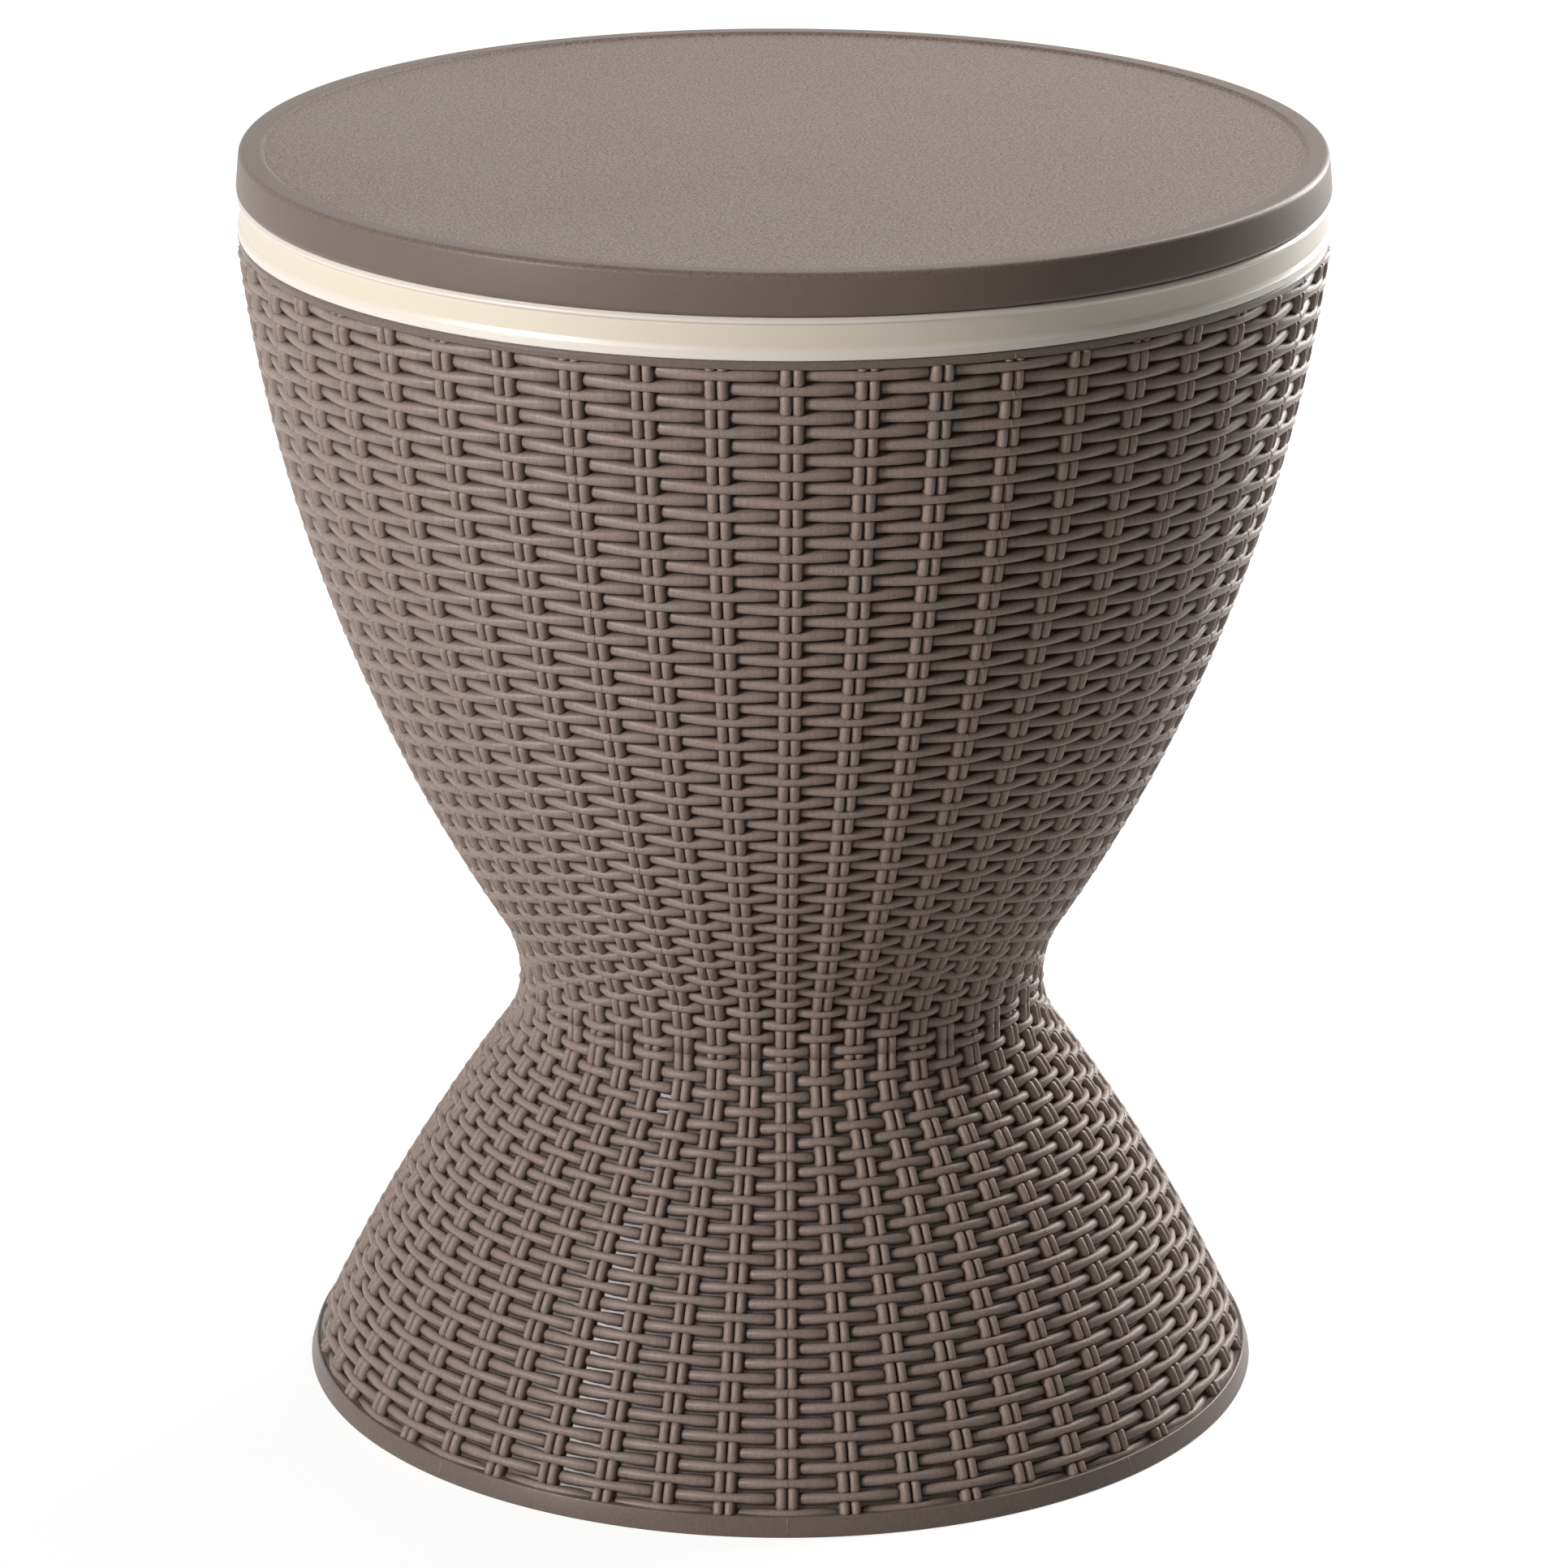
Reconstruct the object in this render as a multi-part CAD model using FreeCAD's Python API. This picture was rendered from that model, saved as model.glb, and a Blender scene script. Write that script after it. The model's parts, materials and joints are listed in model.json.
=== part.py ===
"""Cooler table: an hourglass body that holds an ice bucket, under a tabletop lid on a lifting post.

Millimetres, +Z up. The origin is on the floor, on the table's axis.
Every turned piece is an outline in the (radius, height) plane, swept once round the axis.
"""

import FreeCAD, Part
import math
import os

Vector = FreeCAD.Vector
AXIS = Vector(0, 0, 1)

# Overall sizes of what shows from outside
total_height = 580.0
lid_radius = 244.2
lid_height = 18.5
skirt_stand = 0.6
band_height = 18.3
rim_step = 0.8
base_ring_stand = 4.4
base_ring_height = 7.0

# Outline of the body: two shallow arcs that run tangent into a fillet at the waist
waist_height = 187.5
waist_radius = 119.8
bowl_arc_radius = 745.0
bowl_fillet_radius = 67.0
flare_foot_radius = 217.1
flare_arc_radius = 880.0
flare_fillet_radius = 51.0

# Shells of the body
shell_wall = 5.0
rim_band_height = 4.0
waist_flange_thickness = 5.0
waist_flange_land = 10.0
gusset_count = 8
gusset_thickness = 3.0
gusset_height = 60.0
gusset_depth = 22.0
gusset_floor_gap = 3.0

# Upright stakes of the basket weave: pairs that stand out of the shells
stake_pair_count = 48
stake_pair_turn = 0.87
stake_pair_width = 9.2
stake_relief = 1.4
rim_groove_height = 0.6

# Tabletop lid
lid_wall = 3.5
lid_top_shrink = 1.7
lid_lip_width = 9.5
tray_depth = 1.3
tray_slope = 2.0
lid_edge_round = 3.0
skirt_edge_round = 1.6
lid_rib_count = 8
lid_rib_thickness = 2.5
lid_rib_height = 6.0
lid_rib_ring_gap = 14.0
cover_thickness = 3.0
cover_drop = 10.0
cover_side_gap = 4.5
cover_flange_gap = 1.0

# Ice bucket
bucket_wall = 3.0
bucket_gap = 8.0
bucket_floor_height = 334.0
bucket_floor_thickness = 3.5
bucket_floor_round = 14.0
bucket_rim_thickness = 3.0
band_edge_round = 1.2
band_lip_height = 3.0
band_lip_stand = 0.4
locating_ring_thickness = 2.5
locating_ring_depth = 8.0
floor_rib_count = 6
floor_rib_thickness = 3.0
floor_rib_height = 10.0
floor_rib_reach = 150.0

# Column moulded in the middle of the bucket
column_gap = 1.5
column_wall = 3.0
column_draft = 4.0
column_root_round = 6.0

# Telescopic post
post_radius = 18.0
post_wall = 2.5
post_bottom_height = 108.0
lift_travel = 260.0
lock_turn_degrees = 35.0
tube_wall = 4.45
tube_stand = 6.0
keyway_width = 8.0
keyway_depth = 2.35
bush_length = 36.0
bush_wall = 2.95
clip_thickness = 1.6
clip_groove_depth = 1.2
clip_side_gap = 0.85
cam_side_gap = 0.25
cam_floor = 3.0
cam_height = 17.0
lug_height = 10.0
lug_rise = 5.0
end_cap_thickness = 4.0
end_cap_plug = 8.0
end_cap_gap = 7.0

# Collar, hub and bridge
collar_wall = 2.8
collar_top = 6.0
collar_skirt = 12.0
collar_edge_round = 2.5
hub_flange_width = 24.0
hub_flange_thickness = 5.0
hub_sleeve_wall = 6.0
hub_sleeve_length = 30.0
hub_clearance = 6.2
hub_gusset_thickness = 3.0
hub_gusset_count = 6
bridge_side_gap = 2.8
bridge_thickness = 6.0
bridge_hub_wall = 10.5
bridge_hub_above = 24.0
bridge_hub_below = 12.0
bridge_rib_count = 6
bridge_rib_thickness = 4.0
bridge_rib_height = 14.0
bridge_hole_radius = 15.0
bridge_boss_height = 8.0
clamp_nut_height = 14.0
clamp_nut_stand = 5.0

# Drain
drain_circle = 110.0
drain_angle = -60.0
drain_bore_radius = 10.0
spigot_wall = 3.8
spigot_flange_width = 7.2
spigot_flange_thickness = 2.5
spigot_length = 34.0
sump_gap = 2.5
sump_boss_wall = 3.5
washer_thickness = 2.0
washer_width = 8.2
drain_nut_height = 9.0
drain_nut_width = 10.2
plug_stem_length = 12.0
plug_flange_width = 7.0
plug_flange_thickness = 2.5
plug_seal_thickness = 1.5
plug_seal_inset = 1.5
plug_knob_radius = 9.0
plug_knob_height = 14.0
plug_neck_radius = 5.5
plug_edge_round = 1.0
plug_knob_round = 1.5

# Fasteners
lid_screw_count = 6
lid_screw_circle = 150.0
lid_screw_radius = 2.0
lid_screw_head_radius = 4.0
lid_screw_head_height = 2.6
lid_screw_length = 16.0
lid_boss_wall = 3.0
hub_screw_count = 4
hub_screw_inset = 10.0
hub_screw_length = 22.0
waist_screw_count = 6
waist_screw_inset = 10.0
waist_screw_radius = 2.5
waist_screw_head_radius = 5.0
waist_screw_head_height = 3.0
waist_screw_length = 22.0
waist_boss_wall = 4.0
collar_screw_count = 3
collar_screw_radius = 1.9
collar_screw_head_radius = 3.5
collar_screw_head_height = 2.2
collar_screw_bite = 3.2
cross_pin_radius = 2.0
screw_recess_width_share = 0.5
screw_recess_reach_share = 0.6

# Clearances
lid_gap = 0.3
running_fit = 0.05
key_side_fit = 0.1
key_depth_fit = 0.15
end_play = 0.3
loose_fit = 0.3
locating_gap = 0.5

# How far a rib or web runs into the wall that it joins
root_overlap = 1.0

# Levels and radii that follow from the sizes above
band_radius = lid_radius - skirt_stand
bowl_rim_radius = band_radius - rim_step
base_ring_radius = flare_foot_radius + base_ring_stand
lid_bottom = total_height - lid_height
band_top = lid_bottom - lid_gap
band_bottom = band_top - band_height
rim_band_bottom = band_bottom - rim_band_height
tray_level = total_height - tray_depth
panel_underside = tray_level - lid_wall
skirt_inner_radius = lid_radius - lid_wall
cover_bottom = band_top - cover_drop
cover_top = cover_bottom + cover_thickness
hub_flange_bottom = cover_bottom - hub_flange_thickness
hub_sleeve_bottom = hub_flange_bottom - hub_sleeve_length
hub_sleeve_radius = post_radius + hub_sleeve_wall
hub_flange_radius = hub_sleeve_radius + hub_flange_width
hub_screw_circle = hub_flange_radius - hub_screw_inset
lid_rib_inner_radius = hub_flange_radius + lid_rib_ring_gap
lid_boss_radius = lid_screw_radius + lid_boss_wall
post_top = cover_bottom
post_bore_radius = post_radius - post_wall
tube_bore_radius = post_radius + bush_wall + 2 * running_fit
tube_radius = tube_bore_radius + tube_wall
tube_top = hub_sleeve_bottom - hub_clearance - collar_top
column_top_height = tube_top - tube_stand
column_top_radius = tube_radius + column_gap + column_wall
column_foot_radius = column_top_radius + column_draft
keyway_radius = tube_bore_radius + keyway_depth
cam_bottom = post_bottom_height - cam_floor
cam_top = cam_bottom + cam_height
cam_radius = tube_bore_radius - cam_side_gap
tube_bottom_height = cam_bottom - end_cap_gap - end_cap_plug
lug_bottom = cam_bottom + lug_rise
bush_bottom = cam_top + end_play
bush_top = bush_bottom + bush_length
clip_bottom = bush_top + end_play
clip_radius = tube_bore_radius - clip_side_gap
flange_top = waist_height + waist_flange_thickness
flange_bottom = waist_height - waist_flange_thickness
bridge_radius = waist_radius - shell_wall - bridge_side_gap
bridge_top = flange_top + bridge_thickness
bridge_hub_radius = tube_radius + bridge_hub_wall
clamp_nut_corner_radius = bridge_hub_radius + clamp_nut_stand
waist_screw_circle = bridge_radius - waist_screw_inset
waist_boss_radius = waist_screw_radius + waist_boss_wall
waist_flange_bore = waist_screw_circle - waist_flange_land
bridge_hole_circle = (bridge_hub_radius + waist_flange_bore) / 2
bridge_hub_bottom = flange_top - bridge_hub_below
spigot_radius = drain_bore_radius + spigot_wall
spigot_flange_radius = spigot_radius + spigot_flange_width
washer_radius = spigot_radius + washer_width
drain_nut_corner_radius = spigot_radius + drain_nut_width
plug_flange_radius = drain_bore_radius + plug_flange_width
plug_seal_radius = plug_flange_radius - plug_seal_inset
floor_underside = bucket_floor_height - bucket_floor_thickness
sump_level = bucket_floor_height - spigot_flange_thickness
sump_underside = sump_level - bucket_floor_thickness
drain_place = Vector(
    drain_circle * math.cos(math.radians(drain_angle)),
    drain_circle * math.sin(math.radians(drain_angle)),
    0,
)


class Flare:
    """One half of the hourglass outline, in (radius, height).

    A shallow arc starts at the wide end and runs tangent into a fillet whose narrowest point is the
    waist. An inset moves both arcs towards the table's axis without moving their centres.
    """

    def __init__(self, end_radius, end_height, arc_radius, fillet_radius):
        self.arc_radius = arc_radius
        self.fillet_radius = fillet_radius
        self.fillet = (waist_radius + fillet_radius, waist_height)
        reach_r = end_radius - self.fillet[0]
        reach_z = end_height - self.fillet[1]
        reach = math.hypot(reach_r, reach_z)
        span = arc_radius + fillet_radius
        along = (span**2 - arc_radius**2 + reach**2) / (2 * reach)
        aside = math.sqrt(span**2 - along**2)
        unit = (reach_r / reach, reach_z / reach)
        centres = [
            (
                self.fillet[0] + along * unit[0] - side * aside * unit[1],
                self.fillet[1] + along * unit[1] + side * aside * unit[0],
            )
            for side in (1, -1)
        ]
        self.arc = min(centres)
        self.upward = end_height > waist_height

    def joint(self, inset=0.0):
        """Point where the shallow arc meets the fillet."""
        share = (self.arc_radius - inset) / (self.arc_radius + self.fillet_radius)
        return (
            self.arc[0] + share * (self.fillet[0] - self.arc[0]),
            self.arc[1] + share * (self.fillet[1] - self.arc[1]),
        )

    def radius_at(self, height, inset=0.0):
        joint_height = self.joint(inset)[1]
        on_arc = (height > joint_height) == self.upward
        if on_arc:
            rise = height - self.arc[1]
            return self.arc[0] + math.sqrt((self.arc_radius - inset) ** 2 - rise**2)
        rise = height - self.fillet[1]
        return self.fillet[0] - math.sqrt((self.fillet_radius + inset) ** 2 - rise**2)

    def run(self, start, finish, inset=0.0):
        """Outline steps along the surface from one height to another, without the first point."""
        joint_height = self.joint(inset)[1]
        stops = [start, finish]
        if min(start, finish) < joint_height < max(start, finish):
            stops = [start, joint_height, finish]
        steps = []
        for low, high in zip(stops, stops[1:]):
            middle = (low + high) / 2
            steps.append(
                (
                    (self.radius_at(middle, inset), middle),
                    (self.radius_at(high, inset), high),
                )
            )
        return steps

    def floor_corner(self, inset, floor_height, corner_radius):
        """Rounded corner inside the arc: its points on the floor, at mid arc and on the wall."""
        inner = self.arc_radius - inset
        rise = floor_height + corner_radius - self.arc[1]
        centre = (
            self.arc[0] + math.sqrt((inner - corner_radius) ** 2 - rise**2),
            floor_height + corner_radius,
        )
        share = inner / (inner - corner_radius)
        wall = (
            self.arc[0] + share * (centre[0] - self.arc[0]),
            self.arc[1] + share * (centre[1] - self.arc[1]),
        )
        turn = math.atan2(wall[1] - centre[1], wall[0] - centre[0])
        half = (turn - math.pi / 2) / 2
        middle = (
            centre[0] + corner_radius * math.cos(half),
            centre[1] + corner_radius * math.sin(half),
        )
        return (centre[0], floor_height), middle, wall


bowl = Flare(bowl_rim_radius, rim_band_bottom, bowl_arc_radius, bowl_fillet_radius)
flare = Flare(flare_foot_radius, base_ring_height, flare_arc_radius, flare_fillet_radius)


def outline_face(start, steps):
    """Closed face in the XZ plane.

    A step is (radius, height) for a straight line, or (middle point, end point) for an arc.
    """
    edges = []
    here = Vector(start[0], 0, start[1])
    for step in list(steps) + [start]:
        is_arc = isinstance(step[0], tuple)
        end = step[1] if is_arc else step
        there = Vector(end[0], 0, end[1])
        if (there - here).Length < 1e-6:
            continue
        if is_arc:
            middle = Vector(step[0][0], 0, step[0][1])
            edges.append(Part.Arc(here, middle, there).toShape())
        else:
            edges.append(Part.LineSegment(here, there).toShape())
        here = there
    return Part.Face(Part.Wire(edges))


def turned(start, *steps):
    """Solid of revolution about the table's axis."""
    return outline_face(start, steps).revolve(Vector(0, 0, 0), AXIS, 360)


def rounded(before, corner, after, radius):
    """Steps that turn a corner between two straight lines with an arc of the given radius."""
    into = Vector(before[0] - corner[0], before[1] - corner[1], 0).normalize()
    away = Vector(after[0] - corner[0], after[1] - corner[1], 0).normalize()
    half = into.getAngle(away) / 2
    setback = radius / math.tan(half)
    bisector = (into + away).normalize()
    reach = radius / math.sin(half) - radius
    return [
        (corner[0] + into.x * setback, corner[1] + into.y * setback),
        (
            (corner[0] + bisector.x * reach, corner[1] + bisector.y * reach),
            (corner[0] + away.x * setback, corner[1] + away.y * setback),
        ),
    ]


def cylinder(radius, bottom, top, place=Vector(0, 0, 0)):
    return Part.makeCylinder(radius, top - bottom, place + Vector(0, 0, bottom), AXIS)


def ring(inner, outer, bottom, top, place=Vector(0, 0, 0)):
    return cylinder(outer, bottom, top, place).cut(cylinder(inner, bottom, top, place))


def bar(inner, outer, thickness, bottom, top, angle):
    """Upright radial plate between two radii."""
    plate = Part.makeBox(outer - inner, thickness, top - bottom, Vector(inner, -thickness / 2, bottom))
    plate.rotate(Vector(0, 0, 0), AXIS, angle)
    return plate


def around(count, first_angle=0.0):
    return [first_angle + 360.0 * index / count for index in range(count)]


def on_circle(radius, angle):
    return Vector(radius * math.cos(math.radians(angle)), radius * math.sin(math.radians(angle)), 0)


def hexagon(corner_radius, bottom, top, place=Vector(0, 0, 0)):
    corners = [place + on_circle(corner_radius, angle) + Vector(0, 0, bottom) for angle in around(6)]
    face = Part.Face(Part.makePolygon(corners + corners[:1]))
    return face.extrude(Vector(0, 0, top - bottom))


def cross_pin(length, height):
    """Round pin across the axis, along Y."""
    start = Vector(0, -length / 2, height)
    return Part.makeCylinder(cross_pin_radius, length, start, Vector(0, 1, 0))


def upright_screw(place, seat, shank_radius, length, head_radius, head_height):
    """Pan head under the seat, shank upwards, with a cross recess in the head."""
    shank = cylinder(shank_radius, seat, seat + length, place)
    head = cylinder(head_radius, seat - head_height, seat, place)
    recess_width = shank_radius * screw_recess_width_share
    recess_reach = head_radius * screw_recess_reach_share
    recess = None
    for turn in (0, 90):
        slot = Part.makeBox(
            2 * recess_reach,
            recess_width,
            head_height / 2,
            Vector(-recess_reach, -recess_width / 2, seat - head_height),
        )
        slot.rotate(Vector(0, 0, 0), AXIS, turn)
        slot.translate(place)
        recess = slot if recess is None else recess.fuse(slot)
    return shank.fuse(head).removeSplitter().cut(recess)


def joined(shapes):
    whole = shapes[0].fuse(shapes[1:])
    return whole.removeSplitter()


def group(shapes):
    return Part.makeCompound(shapes)


def lid_screw_places():
    first = 180.0 / lid_screw_count
    return [on_circle(lid_screw_circle, angle) for angle in around(lid_screw_count, first)]


def hub_screw_places():
    first = 180.0 / hub_screw_count
    return [on_circle(hub_screw_circle, angle) for angle in around(hub_screw_count, first)]


def waist_screw_places():
    return [on_circle(waist_screw_circle, angle) for angle in around(waist_screw_count)]


def lid_top_panel():
    """Tabletop: raised lip, shallow tray, turned-down skirt, ribs and screw bosses below."""
    top_radius = lid_radius - lid_top_shrink
    lip_inner = top_radius - lid_lip_width
    tray_radius = lip_inner - tray_slope
    top_corner = (top_radius, total_height)
    skirt_corner = (lid_radius, lid_bottom)
    inner_top = (top_radius - lid_wall, total_height - lid_wall)
    body = turned(
        (0, tray_level),
        (tray_radius, tray_level),
        (lip_inner, total_height),
        *rounded((lip_inner, total_height), top_corner, skirt_corner, lid_edge_round),
        *rounded(top_corner, skirt_corner, (skirt_inner_radius, lid_bottom), skirt_edge_round),
        (skirt_inner_radius, lid_bottom),
        inner_top,
        (lip_inner, total_height - lid_wall),
        (tray_radius, panel_underside),
        (0, panel_underside),
    )
    extras = []
    for angle in around(lid_rib_count):
        rib_end = tray_radius + tray_slope
        extras.append(
            bar(
                lid_rib_inner_radius,
                rib_end,
                lid_rib_thickness,
                panel_underside - lid_rib_height,
                panel_underside + lid_wall / 2,
                angle,
            )
        )
    rib_ring_outer = lid_rib_inner_radius + lid_rib_thickness
    extras.append(
        ring(
            lid_rib_inner_radius,
            rib_ring_outer,
            panel_underside - lid_rib_height,
            panel_underside + lid_wall / 2,
        )
    )
    holes = []
    for place in lid_screw_places():
        extras.append(cylinder(lid_boss_radius, cover_top, tray_level - lid_wall / 2, place))
        holes.append(cylinder(lid_screw_radius, cover_top, cover_bottom + lid_screw_length, place))
    screw_end = hub_flange_bottom + hub_screw_length
    for place in hub_screw_places():
        extras.append(cylinder(lid_boss_radius, cover_top, tray_level - lid_wall / 2, place))
        holes.append(cylinder(lid_screw_radius, cover_top, screw_end, place))
    return joined([body] + extras).cut(holes)


def lid_underside():
    """Inner cover of the tabletop: a shallow pan whose flange rests on the bucket's rim."""
    bucket_mouth = bowl.radius_at(band_top, shell_wall + bucket_gap + bucket_wall)
    pan_radius = bucket_mouth - cover_side_gap
    flange_radius = skirt_inner_radius - cover_flange_gap
    pan_corner = (pan_radius, cover_bottom)
    flange_level = band_top + cover_thickness
    body = turned(
        (0, cover_bottom),
        *rounded((0, cover_bottom), pan_corner, (pan_radius, band_top), cover_thickness),
        (pan_radius, band_top),
        (flange_radius, band_top),
        (flange_radius, flange_level),
        (pan_radius - cover_thickness, flange_level),
        (pan_radius - cover_thickness, cover_top),
        (0, cover_top),
    )
    places = lid_screw_places() + hub_screw_places()
    return body.cut([cylinder(lid_screw_radius, cover_bottom, cover_top, place) for place in places])


def lid_screws():
    return group(
        [
            upright_screw(
                place,
                cover_bottom,
                lid_screw_radius,
                lid_screw_length,
                lid_screw_head_radius,
                lid_screw_head_height,
            )
            for place in lid_screw_places()
        ]
    )


def hub_pin_height():
    return hub_flange_bottom - hub_sleeve_length / 2


def lid_hub():
    """Flange under the tabletop with a sleeve that holds the post."""
    flange_corner = (hub_flange_radius, hub_flange_bottom)
    body = turned(
        (post_radius, hub_sleeve_bottom),
        (hub_sleeve_radius, hub_sleeve_bottom),
        (hub_sleeve_radius, hub_flange_bottom),
        *rounded(
            (hub_sleeve_radius, hub_flange_bottom),
            flange_corner,
            (hub_flange_radius, cover_bottom),
            skirt_edge_round,
        ),
        (hub_flange_radius, cover_bottom),
        (post_radius, cover_bottom),
    )
    gussets = []
    root_radius = hub_sleeve_radius - root_overlap
    root_level = hub_flange_bottom + root_overlap
    reach_radius = hub_flange_radius - lid_screw_head_radius
    for angle in around(hub_gusset_count, 90.0):
        plate = outline_face(
            (root_radius, root_level),
            [
                (reach_radius, root_level),
                (reach_radius, hub_flange_bottom),
                (hub_sleeve_radius, hub_sleeve_bottom + hub_sleeve_wall),
                (root_radius, hub_sleeve_bottom + hub_sleeve_wall),
            ],
        )
        web = plate.extrude(Vector(0, hub_gusset_thickness, 0))
        web.translate(Vector(0, -hub_gusset_thickness / 2, 0))
        web.rotate(Vector(0, 0, 0), AXIS, angle)
        gussets.append(web)
    holes = [
        cylinder(lid_screw_radius, hub_flange_bottom, cover_bottom, place)
        for place in hub_screw_places()
    ]
    holes.append(cross_pin(4 * hub_sleeve_radius, hub_pin_height()))
    return joined([body] + gussets).cut(holes)


def lid_hub_screws():
    return group(
        [
            upright_screw(
                place,
                hub_flange_bottom,
                lid_screw_radius,
                hub_screw_length,
                lid_screw_head_radius,
                lid_screw_head_height,
            )
            for place in hub_screw_places()
        ]
    )


def post_pin():
    return cross_pin(2 * hub_sleeve_radius, hub_pin_height())


def cam_pin_height():
    return lug_bottom + lug_height / 2


def inner_post():
    """Sliding tube from the lock cam up to the tabletop."""
    tube = ring(post_bore_radius, post_radius, post_bottom_height, post_top)
    groove = ring(
        post_radius - clip_groove_depth,
        clip_radius,
        clip_bottom,
        clip_bottom + clip_thickness,
    )
    pins = [cross_pin(4 * post_radius, height) for height in (hub_pin_height(), cam_pin_height())]
    return tube.cut([groove] + pins)


def lock_cam():
    """Cup on the post's foot, with two lugs that ride in the keyways and turn into the pockets."""
    cup = cylinder(cam_radius, cam_bottom, cam_top)
    lug_reach = keyway_radius - key_depth_fit
    lugs = bar(-lug_reach, lug_reach, keyway_width - 4 * key_side_fit, lug_bottom, lug_bottom + lug_height, 0)
    lug_stop = cylinder(lug_reach, lug_bottom, lug_bottom + lug_height)
    body = joined([cup, lugs.common(lug_stop)])
    socket = cylinder(post_radius, post_bottom_height, cam_top)
    return body.cut([socket, cross_pin(4 * cam_radius, cam_pin_height())])


def lock_cam_pin():
    return cross_pin(2 * cam_radius, cam_pin_height())


def bush_clip():
    """Retaining ring in the post's groove, open at one side."""
    clip = ring(
        post_radius - clip_groove_depth,
        clip_radius,
        clip_bottom,
        clip_bottom + clip_thickness,
    )
    mouth = bar(0, 2 * post_radius, keyway_width, clip_bottom, clip_bottom + clip_thickness, 90)
    return clip.cut(mouth)


def guide_bush():
    """Bush that the post turns in; its two keys hold it from turning in the fixed tube."""
    bore = post_radius + running_fit
    outer = tube_bore_radius - running_fit
    key_reach = keyway_radius - key_depth_fit
    keys = bar(-key_reach, key_reach, keyway_width - 2 * key_side_fit, bush_bottom, bush_top, 0)
    keys = keys.common(cylinder(key_reach, bush_bottom, bush_top))
    body = joined([cylinder(outer, bush_bottom, bush_top), keys])
    return body.cut(cylinder(bore, bush_bottom, bush_top))


def lock_pockets():
    """Side pockets of the keyways at both ends of the travel, swept over the lock turn."""
    lug_half_width = (keyway_width - 4 * key_side_fit) / 2
    side_angle = math.degrees(math.asin((lug_half_width + loose_fit) / tube_bore_radius))
    sweep = lock_turn_degrees + side_angle
    pockets = []
    for rise in (0.0, lift_travel):
        bottom = lug_bottom + rise - end_play
        height = lug_height + 2 * end_play
        for side in (0.0, 180.0):
            wedge = Part.makeCylinder(keyway_radius, height, Vector(0, 0, bottom), AXIS, sweep)
            wedge.rotate(Vector(0, 0, 0), AXIS, side)
            pockets.append(wedge)
    return pockets


def collar_screw_height():
    return column_top_height - collar_skirt / 2


def collar_screw_outer_radius():
    return collar_bore_radius() + collar_wall


def collar_bore_radius():
    draft = (column_foot_radius - column_top_radius) / (column_top_height - bucket_floor_height)
    return column_top_radius + draft * collar_skirt + loose_fit


def radial_drill(radius, start, finish, height, angle):
    """Round bar along a radius, from one distance off the axis to another."""
    drill = Part.makeCylinder(radius, finish - start, Vector(start, 0, height), Vector(1, 0, 0))
    drill.rotate(Vector(0, 0, 0), AXIS, angle)
    return drill


def collar_screw_angles():
    return around(collar_screw_count, 30.0)


def collar_screw_holes():
    inner = tube_radius - collar_screw_bite
    outer = collar_screw_outer_radius()
    return [
        radial_drill(collar_screw_radius, inner, outer, collar_screw_height(), angle)
        for angle in collar_screw_angles()
    ]


def outer_post_tube():
    """Fixed tube with two keyways down its bore and lock pockets at both ends of the travel."""
    tube = ring(tube_bore_radius, tube_radius, tube_bottom_height, tube_top)
    keyways = bar(-keyway_radius, keyway_radius, keyway_width, cam_bottom, tube_top, 0)
    keyways = keyways.common(cylinder(keyway_radius, cam_bottom, tube_top))
    return tube.cut([keyways] + lock_pockets() + collar_screw_holes())


def post_collar():
    """Cap on the bucket's column: holds the fixed tube and guides the sliding post."""
    bore = collar_bore_radius()
    outer = collar_screw_outer_radius()
    top = tube_top + collar_top
    skirt_bottom = column_top_height - collar_skirt
    guide = post_radius + loose_fit
    body = turned(
        (bore, skirt_bottom),
        (outer, skirt_bottom),
        *rounded((outer, skirt_bottom), (outer, top), (guide, top), collar_edge_round),
        (guide, top),
        (guide, tube_top),
        (tube_radius, tube_top),
        (tube_radius, column_top_height),
        (bore, column_top_height),
    )
    return body.cut(collar_screw_holes())


def collar_screws():
    screws = []
    outer = collar_screw_outer_radius()
    for angle in collar_screw_angles():
        height = collar_screw_height()
        shank = radial_drill(collar_screw_radius, tube_radius - collar_screw_bite, outer, height, angle)
        head_end = outer + collar_screw_head_height
        head = radial_drill(collar_screw_head_radius, outer, head_end, height, angle)
        screws.append(joined([shank, head]))
    return group(screws)


def post_end_cap():
    """Closes the fixed tube's lower end."""
    disc = cylinder(tube_radius, tube_bottom_height - end_cap_thickness, tube_bottom_height)
    plug = cylinder(tube_bore_radius, tube_bottom_height, tube_bottom_height + end_cap_plug)
    return joined([disc, plug])


def post_clamp_nut():
    """Ring nut on the fixed tube, under the bridge."""
    bottom = bridge_hub_bottom - clamp_nut_height
    nut = hexagon(clamp_nut_corner_radius, bottom, bridge_hub_bottom)
    return nut.cut(cylinder(tube_radius, bottom, bridge_hub_bottom))


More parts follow.
